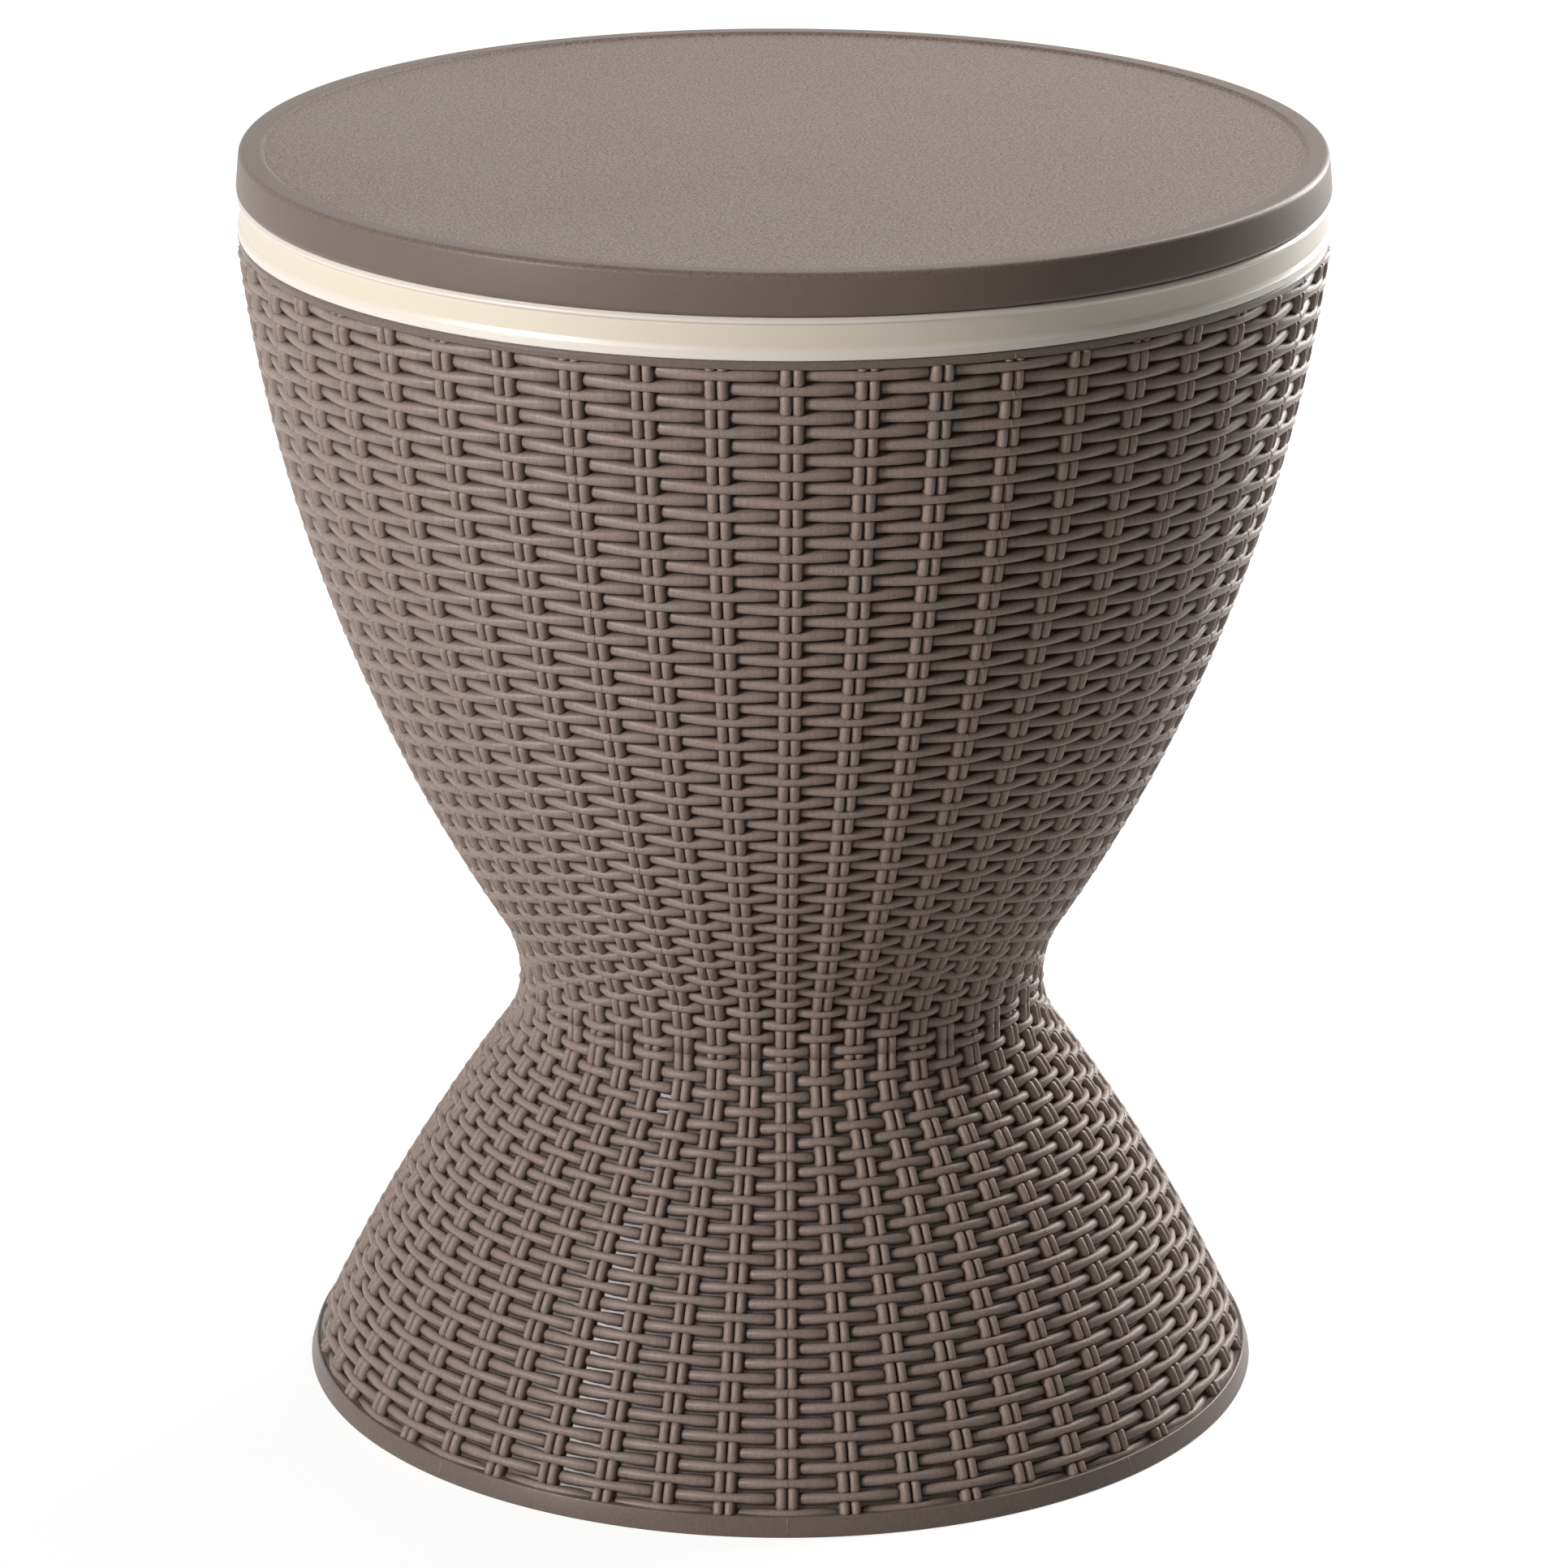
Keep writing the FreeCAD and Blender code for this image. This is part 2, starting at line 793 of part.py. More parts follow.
def waist_bridge():
    """Plate across the waist: hub for the fixed tube, ribs, screw bosses and drain holes."""
    plate = cylinder(bridge_radius, flange_top, bridge_top)
    hub = cylinder(bridge_hub_radius, bridge_hub_bottom, flange_top + bridge_hub_above)
    parts = [plate, hub]
    rib_end = waist_screw_circle
    for angle in around(bridge_rib_count):
        parts.append(
            bar(
                tube_radius + root_overlap,
                rib_end,
                bridge_rib_thickness,
                flange_top,
                bridge_top + bridge_rib_height - bridge_thickness,
                angle,
            )
        )
    bores = [cylinder(tube_radius, bridge_hub_bottom, flange_top + bridge_hub_above)]
    for place in waist_screw_places():
        parts.append(cylinder(waist_boss_radius, flange_top, bridge_top + bridge_boss_height, place))
        screw_end = flange_bottom + waist_screw_length
        bores.append(cylinder(waist_screw_radius, flange_top, screw_end, place))
    for angle in around(bridge_rib_count, 180.0 / bridge_rib_count):
        place = on_circle(bridge_hole_circle, angle)
        bores.append(cylinder(bridge_hole_radius, flange_top, bridge_top, place))
    return joined(parts).cut(bores)


def waist_screws():
    return group(
        [
            upright_screw(
                place,
                flange_bottom,
                waist_screw_radius,
                waist_screw_length,
                waist_screw_head_radius,
                waist_screw_head_height,
            )
            for place in waist_screw_places()
        ]
    )


def waist_screw_holes(bottom, top):
    return [cylinder(waist_screw_radius, bottom, top, place) for place in waist_screw_places()]


def stake_pairs(outline, foot, top):
    """Upright bars on the outside of a shell, one for each pair of stakes; they root in its wall."""
    root = shell_wall / 2
    section = outline_face(
        (outline.radius_at(foot, root), foot),
        [
            (outline.radius_at(foot, -stake_relief), foot),
            *outline.run(foot, top, -stake_relief),
            (outline.radius_at(top, root), top),
            *outline.run(top, foot, root),
        ],
    )
    stakes = []
    for angle in around(stake_pair_count, stake_pair_turn):
        stake = section.extrude(Vector(0, stake_pair_width, 0))
        stake.translate(Vector(0, -stake_pair_width / 2, 0))
        stake.rotate(Vector(0, 0, 0), AXIS, angle)
        stakes.append(stake)
    return stakes


def upper_wicker_shell():
    """Bowl: stake pairs, plain rim band on top, flange with screw holes at the waist."""
    body = turned(
        (waist_flange_bore, waist_height),
        (waist_radius, waist_height),
        *bowl.run(waist_height, rim_band_bottom),
        (band_radius, rim_band_bottom),
        (band_radius, band_bottom),
        (bowl.radius_at(band_bottom, shell_wall), band_bottom),
        *bowl.run(band_bottom, flange_top, shell_wall),
        (waist_flange_bore, flange_top),
    )
    stakes = stake_pairs(bowl, waist_height, rim_band_bottom - rim_groove_height)
    return joined([body] + stakes).cut(waist_screw_holes(waist_height, flange_top))


def lower_wicker_shell():
    """Pedestal: stake pairs, ring at the floor, gussets inside, flange with screw holes at the waist."""
    ring_inner = flare_foot_radius - shell_wall
    foot_corner = (base_ring_radius, 0)
    body = turned(
        (ring_inner, 0),
        *rounded((ring_inner, 0), foot_corner, (base_ring_radius, base_ring_height), skirt_edge_round),
        *rounded(
            foot_corner,
            (base_ring_radius, base_ring_height),
            (flare_foot_radius, base_ring_height),
            skirt_edge_round,
        ),
        (flare_foot_radius, base_ring_height),
        *flare.run(base_ring_height, waist_height),
        (waist_flange_bore, waist_height),
        (waist_flange_bore, flange_bottom),
        (flare.radius_at(flange_bottom, shell_wall), flange_bottom),
        *flare.run(flange_bottom, base_ring_height, shell_wall),
    )
    gussets = []
    for angle in around(gusset_count, 180.0 / gusset_count):
        top = gusset_floor_gap + gusset_height
        embed = shell_wall / 2
        plate = outline_face(
            (flare.radius_at(base_ring_height, embed) - gusset_depth, gusset_floor_gap),
            [
                (flare.radius_at(base_ring_height, embed), gusset_floor_gap),
                (flare.radius_at(base_ring_height, embed), base_ring_height),
                *flare.run(base_ring_height, top, embed),
                (flare.radius_at(top, embed) - shell_wall, top),
            ],
        )
        web = plate.extrude(Vector(0, gusset_thickness, 0))
        web.translate(Vector(0, -gusset_thickness / 2, 0))
        web.rotate(Vector(0, 0, 0), AXIS, angle)
        gussets.append(web)
    stakes = stake_pairs(flare, base_ring_height - root_overlap, waist_height)
    return joined([body] + gussets + stakes).cut(waist_screw_holes(flange_bottom, waist_height))


def ice_bucket():
    """Cream liner: rim band that shows under the lid, bowl, floor and column."""
    outer = shell_wall + bucket_gap
    inner = outer + bucket_wall
    rim_underside = band_top - bucket_rim_thickness
    band_inner = band_radius - bucket_rim_thickness
    locating_bottom = band_bottom - locating_ring_depth
    locating_outer = bowl.radius_at(locating_bottom, shell_wall) - locating_gap
    locating_inner = locating_outer - locating_ring_thickness
    mouth = bowl.radius_at(band_top, inner)
    floor_in, floor_mid, floor_wall = bowl.floor_corner(inner, bucket_floor_height, bucket_floor_round)
    outer_round = bucket_floor_round + bucket_wall
    under_in, under_mid, under_wall = bowl.floor_corner(outer, floor_underside, outer_round)
    column_foot = (column_foot_radius, bucket_floor_height)
    column_top = (column_top_radius, column_top_height)
    lip_radius = band_radius + band_lip_stand
    lip_top = band_bottom + band_lip_height
    body = turned(
        (column_foot_radius - column_wall, floor_underside),
        (column_top_radius - column_wall, column_top_height),
        column_top,
        *rounded(column_top, column_foot, floor_in, column_root_round),
        floor_in,
        (floor_mid, floor_wall),
        *bowl.run(floor_wall[1], band_top, inner),
        *rounded((mouth, band_top), (band_radius, band_top), (band_radius, band_bottom), band_edge_round),
        (band_radius, lip_top),
        (lip_radius, lip_top),
        (lip_radius, band_bottom),
        (band_inner, band_bottom),
        (band_inner, rim_underside),
        (locating_outer, rim_underside),
        (locating_outer, locating_bottom),
        (locating_inner, locating_bottom),
        (locating_inner, rim_underside),
        (bowl.radius_at(rim_underside, outer), rim_underside),
        *bowl.run(rim_underside, under_wall[1], outer),
        (under_mid, under_in),
    )
    extras = []
    for angle in around(floor_rib_count, 180.0 / floor_rib_count):
        extras.append(
            bar(
                column_foot_radius,
                floor_rib_reach,
                floor_rib_thickness,
                floor_underside - floor_rib_height,
                floor_underside + bucket_floor_thickness / 2,
                angle,
            )
        )
    sump_radius = spigot_flange_radius + sump_gap
    extras.append(
        cylinder(sump_radius + sump_boss_wall, sump_underside, floor_underside, drain_place)
    )
    cuts = [
        cylinder(sump_radius, sump_level, bucket_floor_height, drain_place),
        cylinder(spigot_radius, sump_underside, sump_level, drain_place),
    ]
    return joined([body] + extras).cut(cuts + collar_screw_holes())


def drain_spigot():
    """Flanged outlet through the bucket's floor."""
    flange = cylinder(spigot_flange_radius, sump_level, bucket_floor_height, drain_place)
    stem = cylinder(spigot_radius, sump_level - spigot_length, sump_level, drain_place)
    bore = cylinder(drain_bore_radius, sump_level - spigot_length, bucket_floor_height, drain_place)
    return joined([flange, stem]).cut(bore)


def drain_washer():
    bottom = sump_underside - washer_thickness
    return ring(spigot_radius, washer_radius, bottom, sump_underside, drain_place)


def drain_nut():
    top = sump_underside - washer_thickness
    bottom = top - drain_nut_height
    nut = hexagon(drain_nut_corner_radius, bottom, top, drain_place)
    return nut.cut(cylinder(spigot_radius, bottom, top, drain_place))


def plug_stem_radius():
    return drain_bore_radius - loose_fit


def drain_plug():
    """Pull-out stopper: stem in the outlet, flange above the seal, waisted knob to hold."""
    seat = bucket_floor_height + plug_seal_thickness
    flange_level = seat + plug_flange_thickness
    knob_top = flange_level + plug_knob_height
    neck_level = flange_level + plug_knob_height / 2
    knob_edge = knob_top - plug_knob_height / 4
    stem = plug_stem_radius()
    tip = bucket_floor_height - plug_stem_length
    flange_corner = (plug_flange_radius, flange_level)
    body = turned(
        (0, tip),
        *rounded((0, tip), (stem, tip), (stem, seat), skirt_edge_round),
        (stem, seat),
        (plug_flange_radius, seat),
        *rounded(
            (plug_flange_radius, seat),
            flange_corner,
            (plug_neck_radius, flange_level),
            plug_edge_round,
        ),
        (plug_neck_radius, flange_level),
        (plug_neck_radius, neck_level),
        (plug_knob_radius, knob_edge),
        *rounded(
            (plug_knob_radius, knob_edge),
            (plug_knob_radius, knob_top),
            (0, knob_top),
            plug_knob_round,
        ),
        (0, knob_top),
    )
    body.translate(drain_place)
    return body


def drain_plug_seal():
    top = bucket_floor_height + plug_seal_thickness
    return ring(plug_stem_radius(), plug_seal_radius, bucket_floor_height, top, drain_place)


PIECES = {
    "lid_top_panel": lid_top_panel,
    "lid_underside": lid_underside,
    "lid_screws": lid_screws,
    "lid_hub": lid_hub,
    "lid_hub_screws": lid_hub_screws,
    "post_pin": post_pin,
    "inner_post": inner_post,
    "lock_cam": lock_cam,
    "lock_cam_pin": lock_cam_pin,
    "bush_clip": bush_clip,
    "guide_bush": guide_bush,
    "outer_post_tube": outer_post_tube,
    "post_collar": post_collar,
    "collar_screws": collar_screws,
    "post_end_cap": post_end_cap,
    "post_clamp_nut": post_clamp_nut,
    "waist_bridge": waist_bridge,
    "waist_screws": waist_screws,
    "upper_wicker_shell": upper_wicker_shell,
    "lower_wicker_shell": lower_wicker_shell,
    "ice_bucket": ice_bucket,
    "drain_spigot": drain_spigot,
    "drain_washer": drain_washer,
    "drain_nut": drain_nut,
    "drain_plug": drain_plug,
    "drain_plug_seal": drain_plug_seal,
}


def main():
    os.makedirs("parts", exist_ok=True)
    for name, make in PIECES.items():
        shape = make()
        shape.exportStep(os.path.join("parts", name + ".step"))
        solids = len(shape.Solids)
        print(f"{name}: {solids} solids, valid {shape.isValid()}, {shape.Volume / 1000:.1f} cm3")


main()
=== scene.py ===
"""Cooler table with lid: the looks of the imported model, in metres.

The body's basket weave, the tabletop, the cream bucket and every finish are made here.
"""

import json
import math

import bmesh
import bpy
import numpy as np
from mathutils import Matrix, Vector


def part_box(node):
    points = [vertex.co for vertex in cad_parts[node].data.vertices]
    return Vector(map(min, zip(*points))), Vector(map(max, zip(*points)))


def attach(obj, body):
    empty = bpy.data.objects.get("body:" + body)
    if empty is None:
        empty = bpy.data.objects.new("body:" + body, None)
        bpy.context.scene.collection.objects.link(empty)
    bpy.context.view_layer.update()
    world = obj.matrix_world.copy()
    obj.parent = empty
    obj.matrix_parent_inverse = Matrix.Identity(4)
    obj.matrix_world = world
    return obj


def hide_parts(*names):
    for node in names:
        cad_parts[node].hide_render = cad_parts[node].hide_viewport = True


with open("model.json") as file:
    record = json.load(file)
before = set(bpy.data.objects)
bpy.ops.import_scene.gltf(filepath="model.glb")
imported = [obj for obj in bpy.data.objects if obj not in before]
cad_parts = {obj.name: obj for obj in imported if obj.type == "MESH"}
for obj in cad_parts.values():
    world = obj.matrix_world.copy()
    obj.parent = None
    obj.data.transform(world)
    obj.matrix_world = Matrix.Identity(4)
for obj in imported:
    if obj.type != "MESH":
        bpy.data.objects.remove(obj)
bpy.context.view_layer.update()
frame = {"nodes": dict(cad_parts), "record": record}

# Levels read from the frame
TOTAL_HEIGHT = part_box("lid_top_panel")[1].z
BAND_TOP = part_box("ice_bucket")[1].z
BAND_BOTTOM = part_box("upper_wicker_shell")[1].z
WAIST_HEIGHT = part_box("upper_wicker_shell")[0].z

# Tabletop: shallow tray, raised lip, and a skirt that is wider at its foot by the flare
LID_RADIUS = 0.2445
LID_BOTTOM = TOTAL_HEIGHT - 0.0185
LID_FLARE = 0.0017
LID_WALL = 0.0035
LID_EDGE_ROUND = 0.0026
LIP_WIDTH = 0.0095
LIP_SLOPE = 0.002
TRAY_DEPTH = 0.0013
TRAY_RINGS = (0.08, 0.16)

# Cream band: (out from its radius, up from its top or bottom, rounding) of each corner
BAND_RADIUS = 0.2436
COVE_DEPTH = 0.0008
BAND_BEAD = [
    (-0.0010, 0.0, 0.0006),
    (0.0003, -0.0014, 0.0006),
    (0.0003, -0.0022, 0.0004),
    (-COVE_DEPTH, -0.0032, 0.0010),
]
BAND_LIP = [
    (-COVE_DEPTH, 0.0058, 0.0030),
    (0.0, 0.0038, 0.0006),
    (0.0003, 0.0034, 0.0002),
    (0.0003, 0.0, 0.0006),
]

# Plain rim band on the bowl and plain ring under the pedestal
RIM_BAND_HEIGHT = 0.004
RIM_BAND_BOTTOM = BAND_BOTTOM - RIM_BAND_HEIGHT
RIM_BAND_CHAMFER = 0.0014
BASE_RING_RADIUS = 0.2215
BASE_RING_BORE = 0.2121
BASE_RING_TOP = 0.0093
BASE_RING_TOP_RADIUS = 0.2188

# Outline of the crests of the weave: two shallow arcs that run tangent into the waist fillet
WAIST_RADIUS = 0.1218
BOWL_END = (0.2448, RIM_BAND_BOTTOM)
BOWL_ARC = 0.747
BOWL_FILLET = 0.065
FLARE_END = (0.2191, 0.007)
FLARE_ARC = 0.882
FLARE_FILLET = 0.049
OUTLINE_SPARE = 0.012

# Depths of surfaces below the crests
SKIN_DEPTH = 0.0049
INNER_DEPTH = 0.0070
STRAND_ROOT = 0.0057
TIP_DEPTH = STRAND_ROOT - 0.0003
BUCKET_DEPTH = 0.015

# Flange of both shells at the waist
FLANGE_BORE = 0.092
FLANGE_THICKNESS = 0.005

# Bucket: wall, floor, and a column whose radii are given at its foot and at its top
BUCKET_WALL = 0.003
BUCKET_FLOOR = 0.334
BUCKET_UNDER = 0.3305
BUCKET_FLOOR_RISE = 0.012
COLUMN_TOP = 0.498
COLUMN_BORE = (0.031, 0.027)
COLUMN_RADIUS = (0.034, 0.030)

# Drain in the bucket's floor
DRAIN_PLACE = (0.055, -0.09526)
SUMP_RADIUS = 0.0235
SUMP_DEPTH = 0.0025
DRAIN_RADIUS = 0.0138

# The weave: pairs of upright stakes, and weft rows that pass over one pair and under the next
COLUMNS = 48
WEAVE_TURN = math.radians(0.87)
BOWL_ROWS = 58
FLARE_ROWS = 31

# Places, as shares of the way from the waist, where the widths of stakes and pairs are given
WIDTH_PLACES = (0, 0.4, 1)

# Wefts: how far they dive, and where the slope starts as a share of the half width of a pair
DIVE_DEPTH = 0.0025
SLOPE_START = 0.7
WEFT_FOOT = 0.0006
WEFT_WIDENING = 1.5
TIP_LENGTH = 0.0022
TIP_WIDTH = 0.45
LAST_ROW_SINK = 0.0011

# Stakes: share of the duck and share of the width at the middle of a weft, at three distances from
# its edge, and far from it
STAKE_DEPTH = 0.0003
STAKE_DUCK = 0.0027
STAKE_STEPS = (-0.0001, 0.0004, 0.0013)
STAKE_DUCK_SHARES = (1.0, 0.62, 0.22, 0.05, 0.0)
STAKE_WIDTH_SHARES = (0.75, 0.80, 0.97, 1.03, 0.98)
STAKE_OUTER_FOOT = 0.0011
STAKE_INNER_FOOT = 0.0002
STAKE_END_WIDTH = 0.6
STAKE_END_RINGS = (1.0, 0.5, 0.15, 0.0)
PEDESTAL_STAKE_END = 0.0012

# A strand's section: share of the half width, and share of the half width that the surface drops
SECTION_ACROSS = np.array([-0.97, -0.62, 0.0, 0.62, 0.97])
SECTION_DROP = 0.92 * (1 - np.sqrt(1 - SECTION_ACROSS**2))

# Mould seams: a fine raised line every eighth of a turn. A plain face is given by its two ends.
SEAM_COUNT = 8
SEAM_WIDTH = 0.0004
SEAM_STAND = 0.0002
SEAM_ROOT = -0.0006
BOWL_SEAM_TURN = WEAVE_TURN + math.radians(22.5)
FLARE_SEAM_TURN = WEAVE_TURN
RIM_BAND_FACE = (
    (BAND_RADIUS, RIM_BAND_BOTTOM + 0.0006),
    (BAND_RADIUS, BAND_BOTTOM - RIM_BAND_CHAMFER),
)
BASE_RING_FACE = (
    (BASE_RING_RADIUS - 0.0003, 0.0012),
    (BASE_RING_TOP_RADIUS + 0.0002, BASE_RING_TOP - 0.0009),
)

# Painted shade: a darker second colour of a finish in the hollows, with the depths where it starts
# and is full, and its share on the plain bands and on the tabletop's lip
PAINTED_SHADE_DEPTHS = (0.0020, 0.0044)
BAND_PAINTED_SHADE = 0.60
LIP_PAINTED_SHADE = 0.70

# Smallest radius that counts as off the axis
AXIS_TOLERANCE = 1e-7

# Camera that took the photograph
CAMERA_DISTANCE = 2.9013
CAMERA_HEIGHT = 1.2457
CAMERA_PITCH = math.radians(18.451)
CAMERA_ROLL = math.radians(0.187)
CAMERA_YAW = math.radians(0.016)
CAMERA_FOCAL_PIXELS = 8185.0
IMAGE_PIXELS = 1932.0
SENSOR_MM = 36.0

COLOUR_BROWN = (0.284, 0.213, 0.177, 1.0)
COLOUR_CREAM = (0.790, 0.725, 0.630, 1.0)
# Darker, warmer cream for the band's cove: painted shade
COLOUR_CREAM_COVE_SHADE = (0.720, 0.638, 0.500, 1.0)
COLOUR_BLACK = (0.028, 0.028, 0.028, 1.0)
COLOUR_RUBBER = (0.030, 0.030, 0.031, 1.0)
COLOUR_STEEL = (0.62, 0.61, 0.60, 1.0)
COLOUR_ALUMINIUM = (0.75, 0.75, 0.76, 1.0)
WHITE = (1.0, 1.0, 1.0, 1.0)

# Grain: the noise's middle range, its stretch across and along the height, and the slow drift
NOISE_RANGE = (0.3, 0.7)
STREAK_STRETCH = (700, 700, 22)
BRUSH_STRETCH = (900, 900, 12)
BRUSH_ROUGHNESS = (-0.08, 0.1)
DRIFT_SCALE = 9.0
DRIFT_ROUGHNESS = 0.02

# Studio: floor's own grey, and the white that only the camera sees, near and far from the object
FLOOR_SIZE = 6.0
FLOOR_GREY = 0.58
FLOOR_GLOW_NEAR = 0.68
FLOOR_GLOW_FAR = 1.0
FLOOR_GLOW_REACH = (0.45, 1.1)
WORLD_LIGHT = 0.008

# Lamps: name, azimuth and elevation in degrees, distance, aimed height, width, height, power
LAMPS = [
    ("key_left", -54, 22, 2.6, 0.30, 0.5, 0.9, 53),
    ("fill_left", -28, 32, 2.6, 0.30, 0.5, 0.8, 4),
    ("edge_right", 112, 18, 2.4, 0.35, 0.6, 1.5, 3),
    ("rim_right", 138, 18, 2.4, 0.35, 0.6, 1.5, 47),
    ("top_back", 138, 44, 2.0, 0.50, 1.0, 0.7, 21),
]


class Outline:
    """Outline of one half of the body, walked from the waist to its wide end.

    It holds the distance walked, the point (radius, height) and the unit normal that faces out.
    An arc about a centre inside the body bulges out; the fillet's centre lies outside the body.
    """

    def __init__(self, end, arc_radius, fillet_radius, steps=400):
        fillet = np.array([WAIST_RADIUS + fillet_radius, WAIST_HEIGHT])
        reach = np.array(end) - fillet
        length = np.hypot(*reach)
        span = arc_radius + fillet_radius
        along = (span**2 - arc_radius**2 + length**2) / (2 * length)
        aside = math.sqrt(span**2 - along**2)
        unit = reach / length
        across = np.array([-unit[1], unit[0]])
        centres = [fillet + along * unit + side * aside * across for side in (1, -1)]
        centre = min(centres, key=lambda point: point[0])
        joint = centre + (fillet - centre) * arc_radius / span
        start = np.array([WAIST_RADIUS, WAIST_HEIGHT])
        turn = [math.atan2(*(point - fillet)[::-1]) for point in (start, joint)]
        turn = [angle % (2 * math.pi) for angle in turn]
        fillet_turns = np.linspace(turn[0], turn[1], steps // 4)
        rise = [math.atan2(*(point - centre)[::-1]) for point in (joint, np.array(end))]
        arc_turns = np.linspace(rise[0], rise[1], steps)[1:]
        fillet_rays = np.stack([np.cos(fillet_turns), np.sin(fillet_turns)], -1)
        arc_rays = np.stack([np.cos(arc_turns), np.sin(arc_turns)], -1)
        on_fillet = fillet + fillet_radius * fillet_rays
        points = np.concatenate([on_fillet, centre + arc_radius * arc_rays])
        normals = np.concatenate([-fillet_rays, arc_rays])
        spare = OUTLINE_SPARE
        first = points[0] - spare * (points[1] - points[0]) / np.hypot(*(points[1] - points[0]))
        last = points[-1] + spare * (points[-1] - points[-2]) / np.hypot(*(points[-1] - points[-2]))
        walked = np.concatenate([[0], np.cumsum(np.hypot(*np.diff(points, axis=0).T))])
        self.length = walked[-1]
        self.walked = np.concatenate([[-spare], walked, [self.length + spare]])
        self.points = np.concatenate([[first], points, [last]])
        self.normals = np.concatenate([normals[:1], normals, normals[-1:]])

    def at(self, walked, depth):
        """Radius and height of points at a distance from the waist and a depth below the crests."""
        radius = np.interp(walked, self.walked, self.points[:, 0])
        height = np.interp(walked, self.walked, self.points[:, 1])
        normal_r = np.interp(walked, self.walked, self.normals[:, 0])
        normal_z = np.interp(walked, self.walked, self.normals[:, 1])
        return radius - depth * normal_r, height - depth * normal_z

    def run(self, start, finish, depth, steps):
        """Points (radius, height) at even steps from one distance to another, at one depth."""
        walked = np.linspace(start, finish, steps)
        return np.stack(self.at(walked, depth), -1)


# Widths of the strands run from the waist to the wide end
bowl = Outline(BOWL_END, BOWL_ARC, BOWL_FILLET)
bowl.rows = BOWL_ROWS
bowl.weft_over = (0.0038, 0.0041)
bowl.weft_dive = (0.0049, 0.0065)
bowl.stake = (0.0039, 0.0040, 0.0043)
bowl.spacing = (0.0044, 0.0047, 0.0051)
bowl.last_sink = 0.0
flare = Outline(FLARE_END, FLARE_ARC, FLARE_FILLET)
flare.rows = FLARE_ROWS
flare.weft_over = (0.0038, 0.0038)
flare.weft_dive = (0.0048, 0.0056)
flare.stake = (0.0038, 0.0039, 0.0041)
flare.spacing = (0.0044, 0.0047, 0.0050)
flare.last_sink = LAST_ROW_SINK


def signed_volume(points, quads):
    """Six times the volume inside the quads, negative where they face inwards."""
    a, b, c, d = (points[quads[:, k]] for k in range(4))
    first = np.einsum("ij,ij->i", a, np.cross(b, c))
    second = np.einsum("ij,ij->i", a, np.cross(c, d))
    return float(first.sum() + second.sum())


def mesh_object(name, points, quads, ngons=(), sharp_angle=None, painted_shade_share=None):
    """Mesh from arrays of points, quads and longer faces; the quads are turned to face outwards.

    The share of painted shade, where given, is kept for each point: 0 on the crests of the relief,
    1 in its hollows.
    """
    points = np.asarray(points, float).reshape(-1, 3)
    if signed_volume(points, quads) < 0:
        quads = quads[:, ::-1]
        ngons = [face[::-1] for face in ngons]
    loops = np.concatenate([quads.ravel()] + [np.asarray(face) for face in ngons])
    totals = np.concatenate([np.full(len(quads), 4), [len(face) for face in ngons]]).astype(int)
    starts = np.concatenate([[0], np.cumsum(totals)[:-1]])
    mesh = bpy.data.meshes.new(name)
    mesh.vertices.add(len(points))
    mesh.vertices.foreach_set("co", points.ravel())
    mesh.loops.add(len(loops))
    mesh.loops.foreach_set("vertex_index", loops.astype(np.int32))
    mesh.polygons.add(len(totals))
    mesh.polygons.foreach_set("loop_start", starts.astype(np.int32))
    mesh.update(calc_edges=True)
    mesh.validate()
    mesh.shade_smooth()
    if sharp_angle is not None:
        mesh.set_sharp_from_angle(angle=sharp_angle)
    if painted_shade_share is not None:
        attribute = mesh.attributes.new("painted_shade_share", "FLOAT", "POINT")
        attribute.data.foreach_set("value", painted_shade_share.ravel())
    piece = bpy.data.objects.new(name, mesh)
    bpy.context.scene.collection.objects.link(piece)
    return piece


def painted_shade_at(depth):
    """Share of painted shade by depth into the hollows: 0 above the first depth, 1 below the
    second.
    """
    first, second = PAINTED_SHADE_DEPTHS
    return np.clip((depth - first) / (second - first), 0, 1)


def around(radius, angle, height):
    """Points about the axis: x = r sin a, y = -r cos a, z = height."""
    return np.stack([radius * np.sin(angle), -radius * np.cos(angle), height + 0 * angle], -1)


def grid_quads(copies, rows, columns, close_rows, close_columns):
    """Quads of equal grids laid one after another.

    A closed direction joins its last line to its first.
    """
    row = np.arange(rows if close_rows else rows - 1)
    column = np.arange(columns if close_columns else columns - 1)
    copy = np.arange(copies)
    k, i, j = np.meshgrid(copy, row, column, indexing="ij")
    i_next = (i + 1) % rows
    j_next = (j + 1) % columns

    def index(a, b):
        return (k * rows + a) * columns + b

    corners = [index(i, j), index(i_next, j), index(i_next, j_next), index(i, j_next)]
    return np.stack([corner.ravel() for corner in corners], -1)


def end_caps(copies, rings, sides):
    """The first and the last ring of each tube as faces, wound as the tube's quads are."""
    first = (np.arange(copies) * rings * sides)[:, None] + np.arange(sides)
    last = first[:, ::-1] + (rings - 1) * sides
    return list(first) + list(last)


def capped_tubes(name, points, painted_shade_share=None):
    """Tubes with closed ends, from points laid out by tube, ring and side."""
    copies, rings, sides = points.shape[:3]
    quads = grid_quads(copies, rings, sides, False, True)
    return mesh_object(name, points, quads, end_caps(copies, rings, sides), painted_shade_share=painted_shade_share)


